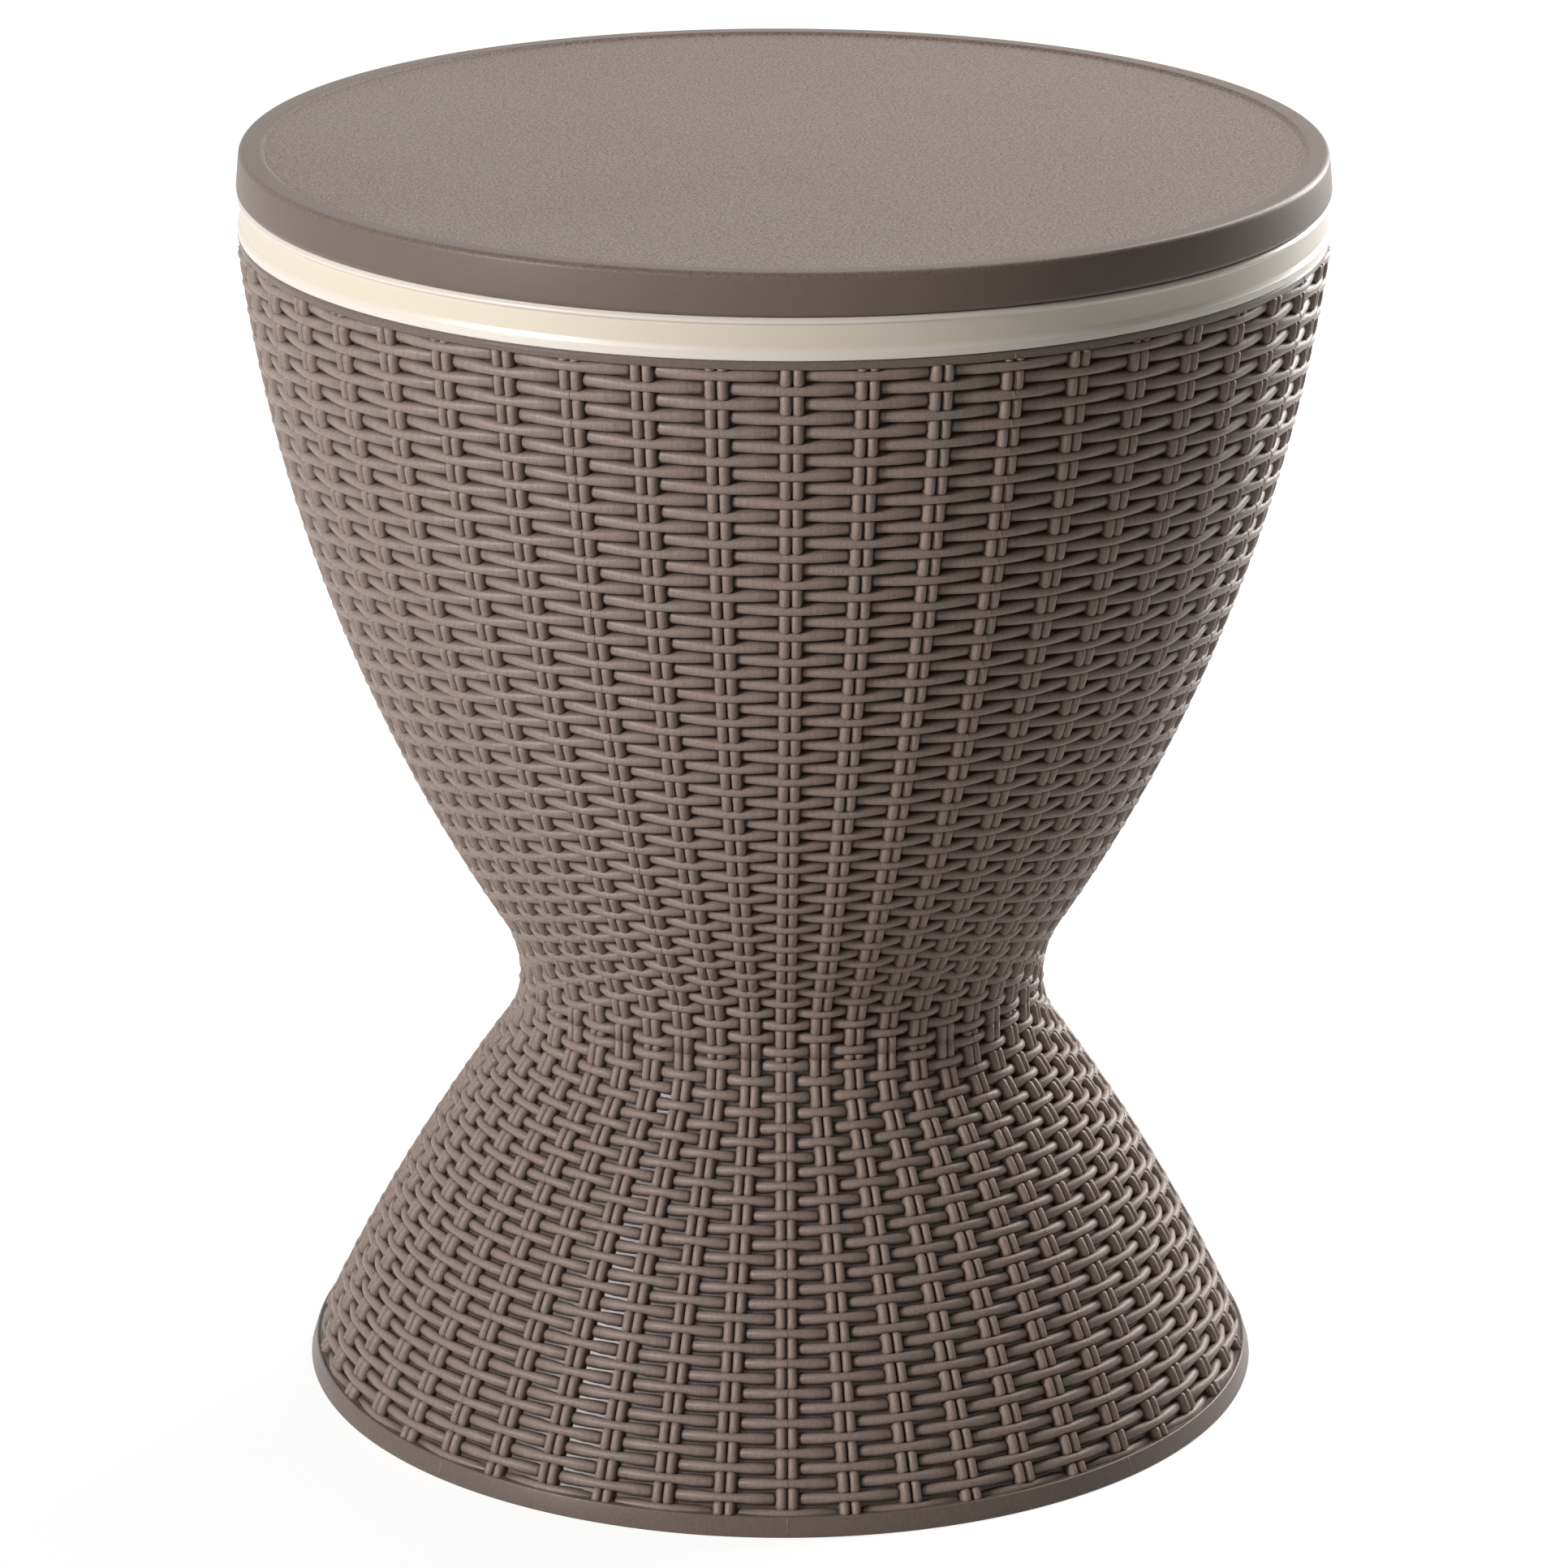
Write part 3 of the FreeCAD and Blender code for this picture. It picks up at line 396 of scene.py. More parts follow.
def spun(name, outline, segments=384, sharp_angle=math.radians(35), painted_shade_share=None):
    """Closed outline (radius, height) swept round the axis.

    A point on the axis becomes one pole vertex, so the surface closes there. The share of painted
    shade is given for each point of the outline.
    """
    outline = np.asarray(outline, float)
    if painted_shade_share is not None:
        painted_shade_share = np.repeat(np.asarray(painted_shade_share, float)[:, None], segments, 1)
    turn = np.linspace(0, 2 * math.pi, segments, endpoint=False)
    points = around(outline[:, :1], turn, outline[:, 1:])
    quads = grid_quads(1, len(outline), segments, True, True)
    piece = mesh_object(name, points, quads, sharp_angle=sharp_angle, painted_shade_share=painted_shade_share)
    if np.any(outline[:, 0] < AXIS_TOLERANCE):
        weld_poles(piece)
    return piece


def weld_poles(piece):
    """Merges the vertices that share the axis and drops the faces that vanish there."""
    work = bmesh.new()
    work.from_mesh(piece.data)
    on_axis = [v for v in work.verts if max(abs(v.co.x), abs(v.co.y)) < AXIS_TOLERANCE]
    bmesh.ops.remove_doubles(work, verts=on_axis, dist=AXIS_TOLERANCE)
    bmesh.ops.dissolve_degenerate(work, edges=work.edges, dist=AXIS_TOLERANCE / 10)
    work.to_mesh(piece.data)
    work.free()


def rounded_path(corners, steps=6):
    """Polyline through (radius, height, rounding) corners; a rounded corner becomes an arc."""
    corners = [tuple(corner) + (0.0,) * (3 - len(corner)) for corner in corners]
    path = []
    for index, (r, z, rounding) in enumerate(corners):
        here = np.array([r, z])
        if rounding <= 0 or index in (0, len(corners) - 1):
            path.append(here)
            continue
        before = np.array(corners[index - 1][:2]) - here
        after = np.array(corners[index + 1][:2]) - here
        before = before / np.hypot(*before)
        after = after / np.hypot(*after)
        half = math.acos(float(np.clip(before @ after, -1, 1))) / 2
        setback = rounding / math.tan(half)
        start = here + before * setback
        finish = here + after * setback
        bisector = (before + after) / np.hypot(*(before + after))
        centre = here + bisector * rounding / math.sin(half)
        first = start - centre
        last = finish - centre
        sweep = math.pi - 2 * half
        share = np.linspace(0, 1, steps + 1)[:, None]
        arc = np.sin((1 - share) * sweep) * first + np.sin(share * sweep) * last
        path.extend(centre + arc / math.sin(sweep))
    return np.array(path)


def smooth_step(share):
    """Rises from 0 to 1 with level ends: 3 s^2 - 2 s^3."""
    return share**2 * (3 - 2 * share)


def quarter_ellipse(share):
    """Rises steeply from 0 at a strand's tip and runs level into 1: sqrt(1 - (1 - s)^2)."""
    share = np.clip(share, 0, 1)
    return np.sqrt(1 - (1 - share) ** 2)


def strand_widths(outline, walked):
    """Widths along an outline: a weft where it crosses over and where it dives, a stake, and the
    spacing of a pair of stakes."""
    share = np.clip(walked / outline.length, 0, 1)
    over = np.interp(share, (0, 1), outline.weft_over)
    dive = np.interp(share, (0, 1), outline.weft_dive)
    stake = np.interp(share, WIDTH_PLACES, outline.stake)
    spacing = np.interp(share, WIDTH_PLACES, outline.spacing)
    return over, dive, stake, spacing


def strand_section(half, crest, left_foot, right_foot):
    """Seven points of a strand's section: a half-round top on two flanks that spread to their feet.

    Across runs from -half to half, depth is crest + half * drop, and a foot spreads by a length.
    """
    drop = crest + half * SECTION_DROP
    ends = [np.full_like(crest + half, STRAND_ROOT)]
    left = [-(half + left_foot) + 0 * crest]
    right = [half + right_foot + 0 * crest]
    across = np.concatenate(left + [half * SECTION_ACROSS + 0 * crest] + right, -1)
    depth = np.concatenate(ends + [np.minimum(drop, STRAND_ROOT)] + ends, -1)
    return across, depth


def weft_rows(name, outline, first_row, last_row):
    """Weft rings over rows first_row to last_row - 1.

    A row crosses over every second pair of stakes at its full height. Beside it the crest slopes
    down as a smooth step and the strand widens, and at the next pair it ends in a rounded tip,
    whose height and width follow a quarter ellipse. Under the stakes the ring goes on below the
    ground.
    """
    pitch = outline.length / outline.rows
    row = np.arange(first_row, last_row)[:, None, None]
    walked = (row + 0.5) * pitch
    radius, _ = outline.at(walked, 0)
    over, dive, stake, spacing = strand_widths(outline, walked)
    edge = (spacing + stake) / 2
    tip = 2 * math.pi * radius / COLUMNS - edge
    slope = tip - TIP_LENGTH
    half_unit = [
        0 * edge,
        edge,
        (edge + slope) / 2,
        slope,
        slope + 0.5 * TIP_LENGTH,
        tip - 0.12 * TIP_LENGTH,
        tip,
    ]
    half_unit = np.concatenate(half_unit, -1)
    along = np.concatenate([-half_unit[..., :0:-1], half_unit], -1)[..., None]
    away = np.abs(along)
    edge, tip, over, dive = (value[..., None] for value in (edge, tip, over, dive))
    share = np.clip((away - SLOPE_START * edge) / (tip - SLOPE_START * edge), 0, 1)
    step = 0.5 * share + 0.5 * smooth_step(share)
    dome = quarter_ellipse((tip - away) / TIP_LENGTH)
    sink = np.where(row[..., None] == outline.rows - 1, outline.last_sink, 0.0)
    crest = sink + DIVE_DEPTH * step
    crest = TIP_DEPTH - (TIP_DEPTH - crest) * dome
    widening = smooth_step(np.minimum(WEFT_WIDENING * share, 1))
    half = (over + (dive - over) * widening) / 2 * (TIP_WIDTH + (1 - TIP_WIDTH) * dome)
    across, depth = strand_section(half, crest, WEFT_FOOT, WEFT_FOOT)
    place_r, place_z = outline.at(walked[..., None] + across, depth)
    unit = np.arange(COLUMNS // 2)[None, :, None, None]
    pair = 2 * unit + row[..., None] % 2
    angle = WEAVE_TURN + pair * 2 * math.pi / COLUMNS + along / radius[..., None]
    points = around(place_r, angle, place_z)
    rings = COLUMNS // 2 * along.shape[2]
    rows, sides = points.shape[0], points.shape[3]
    quads = grid_quads(rows, rings, sides, True, True)
    # The share of painted shade grows with the depth into the hollows.
    return mesh_object(name, points, quads, painted_shade_share=painted_shade_at(depth + 0 * angle))


def stake_bars(name, outline, parity, end_gap):
    """Upright stakes of every second pair.

    A stake stands nearly level with the wefts that cross over others, and ducks under the wefts
    that cross over its own pair: its depth and width are steps of straight lines over the distance
    to the nearest of those. Where it ends before the outline does, its end is a quarter ellipse.
    """
    pitch = outline.length / outline.rows
    over_half = np.mean(outline.weft_over) / 2
    crossings = (np.arange(parity, outline.rows, 2) + 0.5) * pitch
    steps = over_half + np.array(STAKE_STEPS)
    offsets = np.concatenate([-steps[::-1], [0], steps, [pitch]])
    end = outline.length - end_gap
    end_rings = end - end_gap * np.array(STAKE_END_RINGS)
    walked = np.concatenate([[0.0], (crossings[:, None] + offsets).ravel(), end_rings])
    walked = np.unique(walked)
    walked = walked[(walked >= 0) & (walked <= end)]
    away = np.min(np.abs(walked[:, None] - crossings), 1)
    levels = [0.0, *steps, pitch]
    crest = STAKE_DEPTH + STAKE_DUCK * np.interp(away, levels, STAKE_DUCK_SHARES)
    swell = np.interp(away, levels, STAKE_WIDTH_SHARES)
    if end_gap > 0:
        dome = quarter_ellipse((end - walked) / end_gap)
        crest = TIP_DEPTH - (TIP_DEPTH - crest) * dome
        swell = swell * (STAKE_END_WIDTH + (1 - STAKE_END_WIDTH) * dome)
    _, _, stake, spacing = strand_widths(outline, walked)
    pair = np.repeat(np.arange(parity, COLUMNS, 2), 2)[:, None, None]
    side = np.tile([-0.5, 0.5], COLUMNS // 2)[:, None, None]
    half = (stake * swell / 2)[None, :, None]
    left_foot = np.where(side < 0, STAKE_OUTER_FOOT, STAKE_INNER_FOOT)
    right_foot = np.where(side < 0, STAKE_INNER_FOOT, STAKE_OUTER_FOOT)
    across, depth = strand_section(half, crest[None, :, None] + 0 * side, left_foot, right_foot)
    across = across + side * spacing[None, :, None]
    radius, height = outline.at(walked[None, :, None] + 0 * depth, depth)
    angle = WEAVE_TURN + pair * 2 * math.pi / COLUMNS + across / radius
    # The share of painted shade grows with the depth into the hollows.
    return capped_tubes(name, around(radius, angle, height), painted_shade_at(depth + 0 * angle))


def ground_and_band(name, ground, band, inside):
    """Shell swept round the axis from three runs of its outline.

    They are the ground of the weave's hollows, the plain band and the inside. The ground and the
    inside get full painted shade, and the band a share of it.
    """
    # Painted shade: full on the ground and the inside, a share of it on the band.
    shade_shares = [np.ones(len(ground)), np.full(len(band), BAND_PAINTED_SHADE), np.ones(len(inside))]
    return spun(name, np.concatenate([ground, band, inside]), painted_shade_share=np.concatenate(shade_shares))


def upper_skin():
    """Bowl shell under the weave: plain rim band on top, waist flange below.

    The bowl's outline at the skin's depth, the band's corners and the outline at the inner depth.
    """
    outer = bowl.run(0, bowl.length - 0.002, SKIN_DEPTH, 120)
    top_in, _ = bowl.at(bowl.length + RIM_BAND_HEIGHT, INNER_DEPTH)
    rim = rounded_path(
        [
            (outer[-1][0], outer[-1][1]),
            (outer[-1][0] + 0.0002, RIM_BAND_BOTTOM + 0.0002, 0.0004),
            (BAND_RADIUS, RIM_BAND_BOTTOM, 0.0005),
            (BAND_RADIUS, BAND_BOTTOM - RIM_BAND_CHAMFER, 0.0004),
            (BAND_RADIUS - 0.0009, BAND_BOTTOM, 0.0003),
            (float(top_in), BAND_BOTTOM),
        ]
    )
    inner = bowl.run(bowl.length, FLANGE_THICKNESS, INNER_DEPTH, 60)
    flange = [(FLANGE_BORE, WAIST_HEIGHT + FLANGE_THICKNESS), (FLANGE_BORE, WAIST_HEIGHT)]
    return ground_and_band("upper_shell_skin", outer, rim[1:], np.concatenate([inner, flange]))


def lower_skin():
    """Pedestal shell under the weave: plain ring at the floor, waist flange on top.

    The pedestal's outline at the skin's depth, the ring's corners and the outline at the inner
    depth.
    """
    outer = flare.run(0, flare.length - 0.004, SKIN_DEPTH, 70)
    foot = rounded_path(
        [
            tuple(outer[-1]),
            (BASE_RING_TOP_RADIUS - 0.0016, BASE_RING_TOP - 0.0007, 0.0010),
            (BASE_RING_TOP_RADIUS, BASE_RING_TOP, 0.0008),
            (BASE_RING_RADIUS, 0.0004, 0.0008),
            (BASE_RING_RADIUS - 0.0006, 0.0),
            (BASE_RING_BORE, 0.0, 0.0006),
            (BASE_RING_BORE, 0.007),
        ]
    )
    inner = flare.run(flare.length, FLANGE_THICKNESS, INNER_DEPTH, 50)
    flange = [(FLANGE_BORE, WAIST_HEIGHT - FLANGE_THICKNESS), (FLANGE_BORE, WAIST_HEIGHT)]
    return ground_and_band("lower_shell_skin", outer, foot[1:], np.concatenate([inner, flange]))


def tabletop():
    """Tabletop: shallow tray, raised lip, rounded edge, turned-down skirt that flares a little.

    Its corners, rounded and swept round the axis. The skirt has the finish's darker second colour,
    which is painted shade, and the lip has a share of it.
    """
    top = TOTAL_HEIGHT
    edge = LID_RADIUS - LID_FLARE
    lip = edge - LIP_WIDTH
    tray = lip - LIP_SLOPE
    level = top - TRAY_DEPTH
    under = level - LID_WALL
    corners = [
        (0.0, level),
        *((ring, level) for ring in TRAY_RINGS),
        (tray, level, 0.0016),
        (lip, top, 0.0010),
        (edge, top, LID_EDGE_ROUND),
        (LID_RADIUS, LID_BOTTOM, 0.0022),
        (LID_RADIUS - LID_WALL, LID_BOTTOM, 0.0006),
        (edge - LID_WALL, top - LID_WALL, 0.001),
        (lip, top - LID_WALL),
        (tray, under),
        (0.0, under),
    ]
    outline = rounded_path(corners, 8)
    # Painted shade: full on the skirt below the edge's rounding, and a share of it on the lip.
    skirt_shade = np.clip((top - outline[:, 1]) / LID_EDGE_ROUND, LIP_PAINTED_SHADE, 1)
    painted_shade_share = np.where(outline[:, 0] > lip - 0.0005, skirt_shade, 0)
    return spun("tabletop_panel", outline, 512, painted_shade_share=painted_shade_share)


def walked_up_bowl(height):
    """Distance from the waist, along the bowl's outline, to a height."""
    return np.interp(height, bowl.points[:, 1], bowl.walked)


def bucket_liner():
    """Cream bucket: rim band with a cove and a lip, bowl, floor with a drain, column in its middle.

    The walls are the bowl's outline at two depths. With the column, floor and band, they make one
    closed outline that is swept round the axis. The cove has the finish's darker, warmer second
    colour, which is painted shade.
    """
    walked_floor = walked_up_bowl(BUCKET_FLOOR + BUCKET_FLOOR_RISE)
    walked_top = walked_up_bowl(BAND_TOP) + BUCKET_WALL
    inner = bowl.run(walked_floor, walked_top, BUCKET_DEPTH + BUCKET_WALL, 60)
    outer = bowl.run(walked_top - BUCKET_WALL, walked_floor - 0.002, BUCKET_DEPTH, 60)
    column = rounded_path(
        [
            (COLUMN_BORE[0], BUCKET_UNDER),
            (COLUMN_BORE[1], COLUMN_TOP),
            (COLUMN_RADIUS[1], COLUMN_TOP, 0.0008),
            (COLUMN_RADIUS[0], BUCKET_FLOOR, 0.006),
            (inner[0][0] + 0.001, BUCKET_FLOOR, 0.011),
            tuple(inner[0]),
        ],
        8,
    )
    rim = rounded_path(
        [
            (inner[-1][0], inner[-1][1] - 0.002),
            (inner[-1][0], BAND_TOP, 0.0015),
            *((BAND_RADIUS + out, BAND_TOP + up, rounding) for out, up, rounding in BAND_BEAD),
            *((BAND_RADIUS + out, BAND_BOTTOM + up, rounding) for out, up, rounding in BAND_LIP),
            (BAND_RADIUS - BUCKET_WALL, BAND_BOTTOM),
            (BAND_RADIUS - BUCKET_WALL, BAND_TOP - BUCKET_WALL),
            (outer[0][0], BAND_TOP - BUCKET_WALL),
        ]
    )
    inside = inner[inner[:, 1] < BAND_TOP - BUCKET_WALL]
    outside = outer[outer[:, 1] < BAND_TOP - BUCKET_WALL - 0.001]
    last = [(outer[-1][0] - BUCKET_FLOOR_RISE, BUCKET_UNDER)]
    outline = np.concatenate([column, inside[1:], rim[1:], outside, last])
    radius, height = outline.T
    # Painted shade in the cove, by how far a point lies in from the band's radius.
    on_band = (radius > BAND_RADIUS - COVE_DEPTH - 0.0001) & (height < BAND_TOP - 0.002)
    cove_shade = np.clip((BAND_RADIUS - radius) / COVE_DEPTH, 0, 1) * on_band
    liner = spun("bucket_liner", outline, painted_shade_share=cove_shade)
    sump = (BUCKET_FLOOR - SUMP_DEPTH, BUCKET_FLOOR + SUMP_DEPTH)
    cut_round(liner, DRAIN_PLACE, SUMP_RADIUS, *sump)
    cut_round(liner, DRAIN_PLACE, DRAIN_RADIUS, BUCKET_UNDER - SUMP_DEPTH, BUCKET_FLOOR)
    return liner


def cut_round(piece, place, radius, low, high, sides=64):
    """Cuts an upright round hole into a piece, from one height to another."""
    turn = np.linspace(0, 2 * math.pi, sides, endpoint=False)
    rim = np.stack([place[0] + radius * np.cos(turn), place[1] + radius * np.sin(turn)], -1)
    rings = [np.concatenate([rim, np.full((sides, 1), level)], 1) for level in (low, high)]
    tool = capped_tubes("hole_tool", np.stack(rings)[None])
    cut = piece.modifiers.new("hole", "BOOLEAN")
    cut.operation = "DIFFERENCE"
    cut.solver = "EXACT"
    cut.object = tool
    shape = piece.evaluated_get(bpy.context.evaluated_depsgraph_get())
    whole = piece.data
    piece.data = bpy.data.meshes.new_from_object(shape)
    piece.modifiers.clear()
    bpy.data.meshes.remove(whole)
    bpy.data.objects.remove(tool)


def seam_bars(path_r, path_z, turns):
    """Points of fine four-sided bars laid on an outline (radius, height) at the given turns.

    A bar's face stands proud of the outline, and its root lies below it.
    """
    path_r, path_z, turns = (np.asarray(value, float) for value in (path_r, path_z, turns))
    side = np.array([-0.5, 0.5, 0.5, -0.5]) * SEAM_WIDTH
    rise = np.array([SEAM_STAND, SEAM_STAND, SEAM_ROOT, SEAM_ROOT])
    radius = path_r[:, :, None] + rise
    angle = turns[:, None, None] + side / radius
    return around(radius, angle, path_z[:, :, None])


def mould_seams(name, outline, first_turn, band):
    """Seam lines of one half of the body: over the wefts that cross at the seam, and down its band.

    The band's face runs straight between its two ends, each a radius and a height.
    """
    pitch = outline.length / outline.rows
    turns = first_turn + np.arange(SEAM_COUNT) * 2 * math.pi / SEAM_COUNT
    pair = np.rint((turns - WEAVE_TURN) * COLUMNS / (2 * math.pi)).astype(int)
    rows = np.arange(outline.rows - 1)
    crossing = (rows[None, :] + pair[:, None]) % 2 == 0
    which, row = np.nonzero(crossing)
    walked = ((row + 0.5) * pitch)[:, None]
    over = strand_widths(outline, walked)[0]
    across, depth = strand_section(over / 2, 0 * over, 0.0, 0.0)
    path_r, path_z = outline.at(walked + across[:, 1:-1], depth[:, 1:-1])
    on_wefts = seam_bars(path_r, path_z, turns[which])
    face = np.linspace(*band, path_r.shape[1])[None] + np.zeros((SEAM_COUNT, 1, 1))
    on_band = seam_bars(face[..., 0], face[..., 1], turns)
    return capped_tubes(name, np.concatenate([on_wefts, on_band]))


upper_shell = upper_skin()
lower_shell = lower_skin()
table_panel = tabletop()
liner = bucket_liner()

weave = [
    weft_rows("bowl_wefts_lower", bowl, 0, BOWL_ROWS // 2),
    weft_rows("bowl_wefts_upper", bowl, BOWL_ROWS // 2, BOWL_ROWS),
    weft_rows("pedestal_wefts", flare, 0, FLARE_ROWS),
    stake_bars("bowl_stakes_even", bowl, 0, 0.0),
    stake_bars("bowl_stakes_odd", bowl, 1, 0.0),
    stake_bars("pedestal_stakes_even", flare, 0, PEDESTAL_STAKE_END),
    stake_bars("pedestal_stakes_odd", flare, 1, PEDESTAL_STAKE_END),
    mould_seams("bowl_seams", bowl, BOWL_SEAM_TURN, RIM_BAND_FACE),
    mould_seams("pedestal_seams", flare, FLARE_SEAM_TURN, BASE_RING_FACE),
]

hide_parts("upper_wicker_shell")
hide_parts("lower_wicker_shell")
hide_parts("lid_top_panel")
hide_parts("ice_bucket")
for piece in [upper_shell, lower_shell, liner] + weave:
    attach(piece, "stand")
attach(table_panel, "tabletop")


def new_material(name):
    """Empty material: the material, its node tree and its Principled shader."""
    material = bpy.data.materials.new(name)
    material.use_nodes = True
    shader = material.node_tree.nodes["Principled BSDF"]
    return material, material.node_tree, shader


def grain_group():
    """Moulded grain in object space: a fine speckle, a slow drift, and streaks along the height."""
    group = bpy.data.node_groups.new("moulded_grain", "ShaderNodeTree")
    group.interface.new_socket("Scale", in_out="INPUT", socket_type="NodeSocketFloat")
    nodes, links = group.nodes, group.links
    inputs = nodes.new("NodeGroupInput")
    place = nodes.new("ShaderNodeTexCoord")
    stretch = nodes.new("ShaderNodeMapping")
    stretch.inputs["Scale"].default_value = STREAK_STRETCH
    links.new(place.outputs["Object"], stretch.inputs["Vector"])
    layers = [
        ("Fine", place.outputs["Object"], None, 2.0),
        ("Drift", place.outputs["Object"], DRIFT_SCALE, 1.0),
        ("Streaks", stretch.outputs["Vector"], 1.0, 1.0),
    ]
    outputs = nodes.new("NodeGroupOutput")
    for name, vector, scale, detail in layers:
        group.interface.new_socket(name, in_out="OUTPUT", socket_type="NodeSocketFloat")
        noise = nodes.new("ShaderNodeTexNoise")
        noise.inputs["Detail"].default_value = detail
        links.new(vector, noise.inputs["Vector"])
        if scale is None:
            links.new(inputs.outputs["Scale"], noise.inputs["Scale"])
        else:
            noise.inputs["Scale"].default_value = scale
        links.new(noise.outputs["Fac"], outputs.inputs[name])
    return group


GRAIN = grain_group()


def ranged(tree, value, low, high):
    """Maps a noise's middle range to the given range."""
    node = tree.nodes.new("ShaderNodeMapRange")
    node.inputs["From Min"].default_value, node.inputs["From Max"].default_value = NOISE_RANGE
    node.inputs["To Min"].default_value = low
    node.inputs["To Max"].default_value = high
    tree.links.new(value, node.inputs["Value"])
    return node.outputs["Result"]


def combined(tree, operation, first, second, clamp=False):
    """Two sockets' values, added or multiplied."""
    node = tree.nodes.new("ShaderNodeMath")
    node.operation = operation
    node.use_clamp = clamp
    tree.links.new(first, node.inputs[0])
    tree.links.new(second, node.inputs[1])
    return node.outputs["Value"]


def mixed(tree, kind, share, value, full):
    """A socket's value at share 0, running to a plain value at share 1."""
    node = tree.nodes.new("ShaderNodeMix")
    node.data_type = kind
    node.inputs["B"].default_value = full
    tree.links.new(share, node.inputs["Factor"])
    tree.links.new(value, node.inputs["A"])
    return node.outputs["Result"]


def plastic(
    name, colour, speckle, roughness, grain_scale, grain_depth, shine=0.5, streaks=0.0, painted_shade=None
):
    """Moulded plastic: the colour speckles finely, along streaks too where asked.

    The grain gives the bump, and the slow drift moves the roughness a little. A darker colour,
    which is painted shade, and a roughness may be given for the bottom of the relief, where the
    mould isn't grained, and for other places by a share kept on each point.
    """
    material, tree, shader = new_material(name)
    nodes, links = tree.nodes, tree.links
    grain = nodes.new("ShaderNodeGroup")
    grain.node_tree = GRAIN
    grain.inputs["Scale"].default_value = grain_scale
    fine = ranged(tree, grain.outputs["Fine"], 1.0 - speckle, 1.0 + speckle)
    streaked = ranged(tree, grain.outputs["Streaks"], 1.0 - streaks, 1.0 + streaks)
    tint = nodes.new("ShaderNodeVectorMath")
    tint.operation = "SCALE"
    tint.inputs[0].default_value = colour[:3]
    links.new(combined(tree, "MULTIPLY", fine, streaked), tint.inputs["Scale"])
    shown = tint.outputs["Vector"]
    drift = grain.outputs["Drift"]
    rough = ranged(tree, drift, roughness - DRIFT_ROUGHNESS, roughness + DRIFT_ROUGHNESS)
    height = grain.outputs["Fine"]
    if painted_shade:
        shade_colour, deep_roughness = painted_shade
        painted_shade_share = nodes.new("ShaderNodeAttribute")
        painted_shade_share.attribute_name = "painted_shade_share"
        share = painted_shade_share.outputs["Fac"]
        # Painted shade: the colour runs to the darker shade colour by the point's share.
        shown = mixed(tree, "RGBA", share, shown, shade_colour)
        rough = mixed(tree, "FLOAT", share, rough, deep_roughness)
        height = mixed(tree, "FLOAT", share, height, 0.5)
    bump = nodes.new("ShaderNodeBump")
    bump.inputs["Strength"].default_value = 1.0
    bump.inputs["Distance"].default_value = grain_depth
    links.new(height, bump.inputs["Height"])
    links.new(shown, shader.inputs["Base Color"])
    links.new(rough, shader.inputs["Roughness"])
    links.new(bump.outputs["Normal"], shader.inputs["Normal"])
    shader.inputs["Specular IOR Level"].default_value = shine
    return material


def metal(name, colour, roughness):
    """Bare metal with fine brushed streaks along the height."""
    material, tree, shader = new_material(name)
    nodes, links = tree.nodes, tree.links
    place = nodes.new("ShaderNodeTexCoord")
    stretch = nodes.new("ShaderNodeMapping")
    stretch.inputs["Scale"].default_value = BRUSH_STRETCH
    streak = nodes.new("ShaderNodeTexNoise")
    streak.inputs["Scale"].default_value = 1.0
    links.new(place.outputs["Object"], stretch.inputs["Vector"])
    links.new(stretch.outputs["Vector"], streak.inputs["Vector"])
    rough = nodes.new("ShaderNodeMapRange")
    smoother, rougher = BRUSH_ROUGHNESS
    rough.inputs["To Min"].default_value = roughness + smoother
    rough.inputs["To Max"].default_value = roughness + rougher
    links.new(streak.outputs["Fac"], rough.inputs["Value"])
    links.new(rough.outputs["Result"], shader.inputs["Roughness"])
    shader.inputs["Base Color"].default_value = colour
    shader.inputs["Metallic"].default_value = 1.0
    return material


def shaded(colour, factor):
    """The colour times a factor."""
    return tuple(channel * factor for channel in colour[:3]) + (1.0,)


# The strands' second colour, 0.28 of the brown, is painted shade in the hollows, on the shells'
# ground and on the plain bands.
strand_finish = plastic(
    "wicker_strands",
    COLOUR_BROWN,
    speckle=0.22,
    roughness=0.42,
    grain_scale=1700,
    grain_depth=0.00014,
    shine=0.30,
    streaks=0.09,
    painted_shade=(shaded(COLOUR_BROWN, 0.28), 0.28),
)
# The tabletop's brown at 0.77 of the wicker's is painted shade on the same plastic, and its skirt
# and lip get a darker painted shade of 0.59.
top_finish = plastic(
    "tabletop_brown",
    shaded(COLOUR_BROWN, 0.77),
    speckle=0.68,
    roughness=0.42,
    grain_scale=900,
    grain_depth=0.00010,
    shine=0.20,
    painted_shade=(shaded(COLOUR_BROWN, 0.59), 0.40),
)
cream_finish = plastic(
    "cream_plastic",
    COLOUR_CREAM,
    speckle=0.01,
    roughness=0.32,
    grain_scale=700,
    grain_depth=0.00001,
    shine=0.9,
    painted_shade=(COLOUR_CREAM_COVE_SHADE, 0.36),
)
brown_finish = plastic(
    "brown_plastic",
    shaded(COLOUR_BROWN, 0.85),
    speckle=0.05,
    roughness=0.42,
    grain_scale=1100,
    grain_depth=0.00003,
)
black_finish = plastic(
    "black_plastic",
    COLOUR_BLACK,
    speckle=0.15,
    roughness=0.40,
    grain_scale=1100,
    grain_depth=0.00003,
)
rubber_finish = plastic(
    "rubber",
    COLOUR_RUBBER,
    speckle=0.20,
    roughness=0.65,
    grain_scale=900,
    grain_depth=0.00004,
)
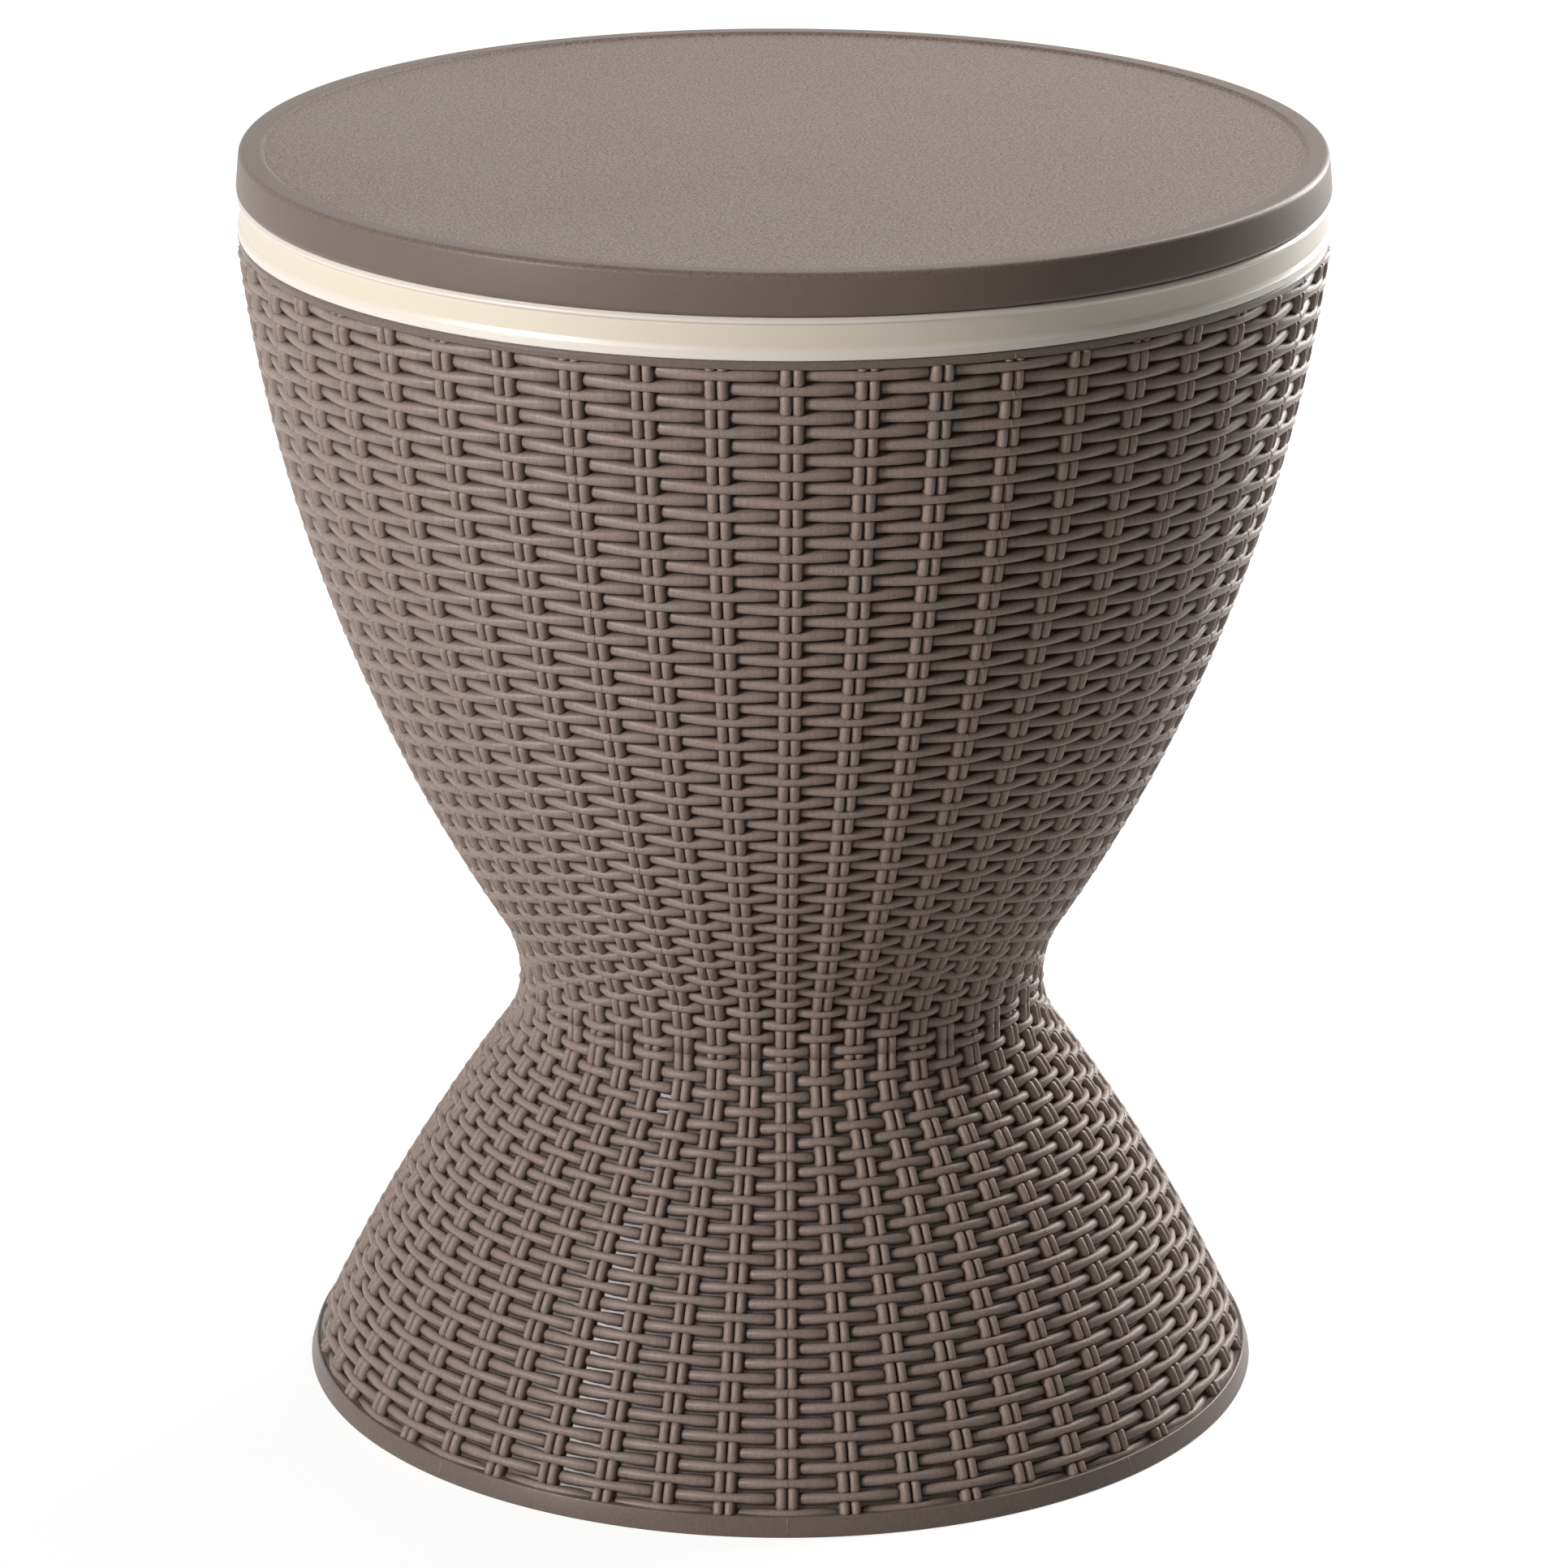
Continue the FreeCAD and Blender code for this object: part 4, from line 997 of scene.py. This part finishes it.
coated_finish = plastic(
    "powder_coated_tube",
    shaded(COLOUR_BROWN, 0.70),
    speckle=0.10,
    roughness=0.36,
    grain_scale=2200,
    grain_depth=0.00003,
)
steel_finish = metal("stainless_steel", COLOUR_STEEL, roughness=0.3)
tube_finish = metal("mill_aluminium", COLOUR_ALUMINIUM, roughness=0.35)


def dress(piece, material):
    """Gives a piece its one material."""
    piece.data.materials.clear()
    piece.data.materials.append(material)


for piece in weave:
    dress(piece, strand_finish)
dress(upper_shell, strand_finish)
dress(lower_shell, strand_finish)
dress(table_panel, top_finish)
dress(liner, cream_finish)

FINISH_OF_SLOT = {
    "brown_tabletop": top_finish,
    "brown_wicker": strand_finish,
    "brown_plastic": brown_finish,
    "cream_plastic": cream_finish,
    "brown_tube": coated_finish,
    "fixed_tube": tube_finish,
    "black_plastic": black_finish,
    "steel": steel_finish,
    "rubber": rubber_finish,
}
for entry in frame["record"]["subparts"]:
    dress(frame["nodes"][entry["node"]], FINISH_OF_SLOT[entry["material_slot"]])


def camera_white(tree):
    """1 for rays from the camera, mirror reflections and clear materials, 0 for all others."""
    path = tree.nodes.new("ShaderNodeLightPath")
    seen = combined(tree, "ADD", path.outputs["Is Camera Ray"], path.outputs["Is Glossy Ray"])
    return combined(tree, "ADD", seen, path.outputs["Is Transmission Ray"], clamp=True)


def studio_floor():
    """Pale floor that keeps the object's shadow.

    The camera sees it glow more with the distance from the object, up to plain white.
    """
    size = FLOOR_SIZE
    points = [(-size, -size, 0), (size, -size, 0), (size, size, 0), (-size, size, 0)]
    mesh = bpy.data.meshes.new("studio_floor")
    mesh.from_pydata(points, [], [(0, 1, 2, 3)])
    floor = bpy.data.objects.new("studio_floor", mesh)
    bpy.context.scene.collection.objects.link(floor)
    material, tree, shader = new_material("studio_floor")
    shader.inputs["Base Color"].default_value = (FLOOR_GREY, FLOOR_GREY, FLOOR_GREY, 1)
    shader.inputs["Roughness"].default_value = 0.9
    shader.inputs["Specular IOR Level"].default_value = 0.0
    shader.inputs["Emission Color"].default_value = WHITE
    place = tree.nodes.new("ShaderNodeTexCoord")
    away = tree.nodes.new("ShaderNodeVectorMath")
    away.operation = "LENGTH"
    tree.links.new(place.outputs["Object"], away.inputs[0])
    glow = tree.nodes.new("ShaderNodeMapRange")
    glow.interpolation_type = "SMOOTHSTEP"
    glow.inputs["From Min"].default_value, glow.inputs["From Max"].default_value = FLOOR_GLOW_REACH
    glow.inputs["To Min"].default_value = FLOOR_GLOW_NEAR
    glow.inputs["To Max"].default_value = FLOOR_GLOW_FAR
    tree.links.new(away.outputs["Value"], glow.inputs["Value"])
    shown = combined(tree, "MULTIPLY", glow.outputs["Result"], camera_white(tree))
    tree.links.new(shown, shader.inputs["Emission Strength"])
    dress(floor, material)


def studio_world():
    """Plain even light from all round, white where the camera sees it."""
    world = bpy.data.worlds.new("studio")
    bpy.context.scene.world = world
    world.use_nodes = True
    nodes, links = world.node_tree.nodes, world.node_tree.links
    light = nodes["Background"]
    light.inputs["Color"].default_value = WHITE
    light.inputs["Strength"].default_value = WORLD_LIGHT
    shown = nodes.new("ShaderNodeBackground")
    shown.inputs["Color"].default_value = WHITE
    shown.inputs["Strength"].default_value = 1.0
    mix = nodes.new("ShaderNodeMixShader")
    links.new(camera_white(world.node_tree), mix.inputs["Fac"])
    links.new(light.outputs["Background"], mix.inputs[1])
    links.new(shown.outputs["Background"], mix.inputs[2])
    links.new(mix.outputs["Shader"], nodes["World Output"].inputs["Surface"])


def softbox(name, azimuth, elevation, distance, aim_height, width, height, power):
    """Rectangular area lamp that faces the table's axis.

    Azimuth turns to the right from the camera's side, and both angles are in degrees.
    """
    turn, rise = math.radians(azimuth), math.radians(elevation)
    level = math.cos(rise)
    place = Vector((math.sin(turn) * level, -math.cos(turn) * level, math.sin(rise)))
    lamp = bpy.data.lights.new(name, "AREA")
    lamp.shape = "RECTANGLE"
    lamp.size = width
    lamp.size_y = height
    lamp.energy = power
    holder = bpy.data.objects.new(name, lamp)
    holder.location = place * distance + Vector((0, 0, aim_height))
    holder.rotation_euler = (-place).to_track_quat("-Z", "Y").to_euler()
    bpy.context.scene.collection.objects.link(holder)


def photo_camera():
    """Camera of the photograph: a pinhole at its fitted place, pitch, roll and focal length."""
    level = math.cos(CAMERA_PITCH)
    ahead, aside = math.cos(CAMERA_YAW), math.sin(CAMERA_YAW)
    forward = Vector((aside * level, ahead * level, -math.sin(CAMERA_PITCH)))
    unrolled_right = Vector((ahead, -aside, 0))
    unrolled_up = unrolled_right.cross(forward)
    cosine, sine = math.cos(CAMERA_ROLL), math.sin(CAMERA_ROLL)
    right = cosine * unrolled_right + sine * unrolled_up
    up = -sine * unrolled_right + cosine * unrolled_up
    data = bpy.data.cameras.new("photo_camera")
    data.sensor_fit = "HORIZONTAL"
    data.sensor_width = SENSOR_MM
    data.lens = CAMERA_FOCAL_PIXELS / IMAGE_PIXELS * SENSOR_MM
    camera = bpy.data.objects.new("photo_camera", data)
    turn = Matrix((right, up, -forward)).transposed().to_4x4()
    camera.matrix_world = Matrix.Translation((0, -CAMERA_DISTANCE, CAMERA_HEIGHT)) @ turn
    bpy.context.scene.collection.objects.link(camera)
    bpy.context.scene.camera = camera


studio_floor()
studio_world()
for lamp_values in LAMPS:
    softbox(*lamp_values)
photo_camera()
bpy.context.scene.view_settings.view_transform = "Standard"
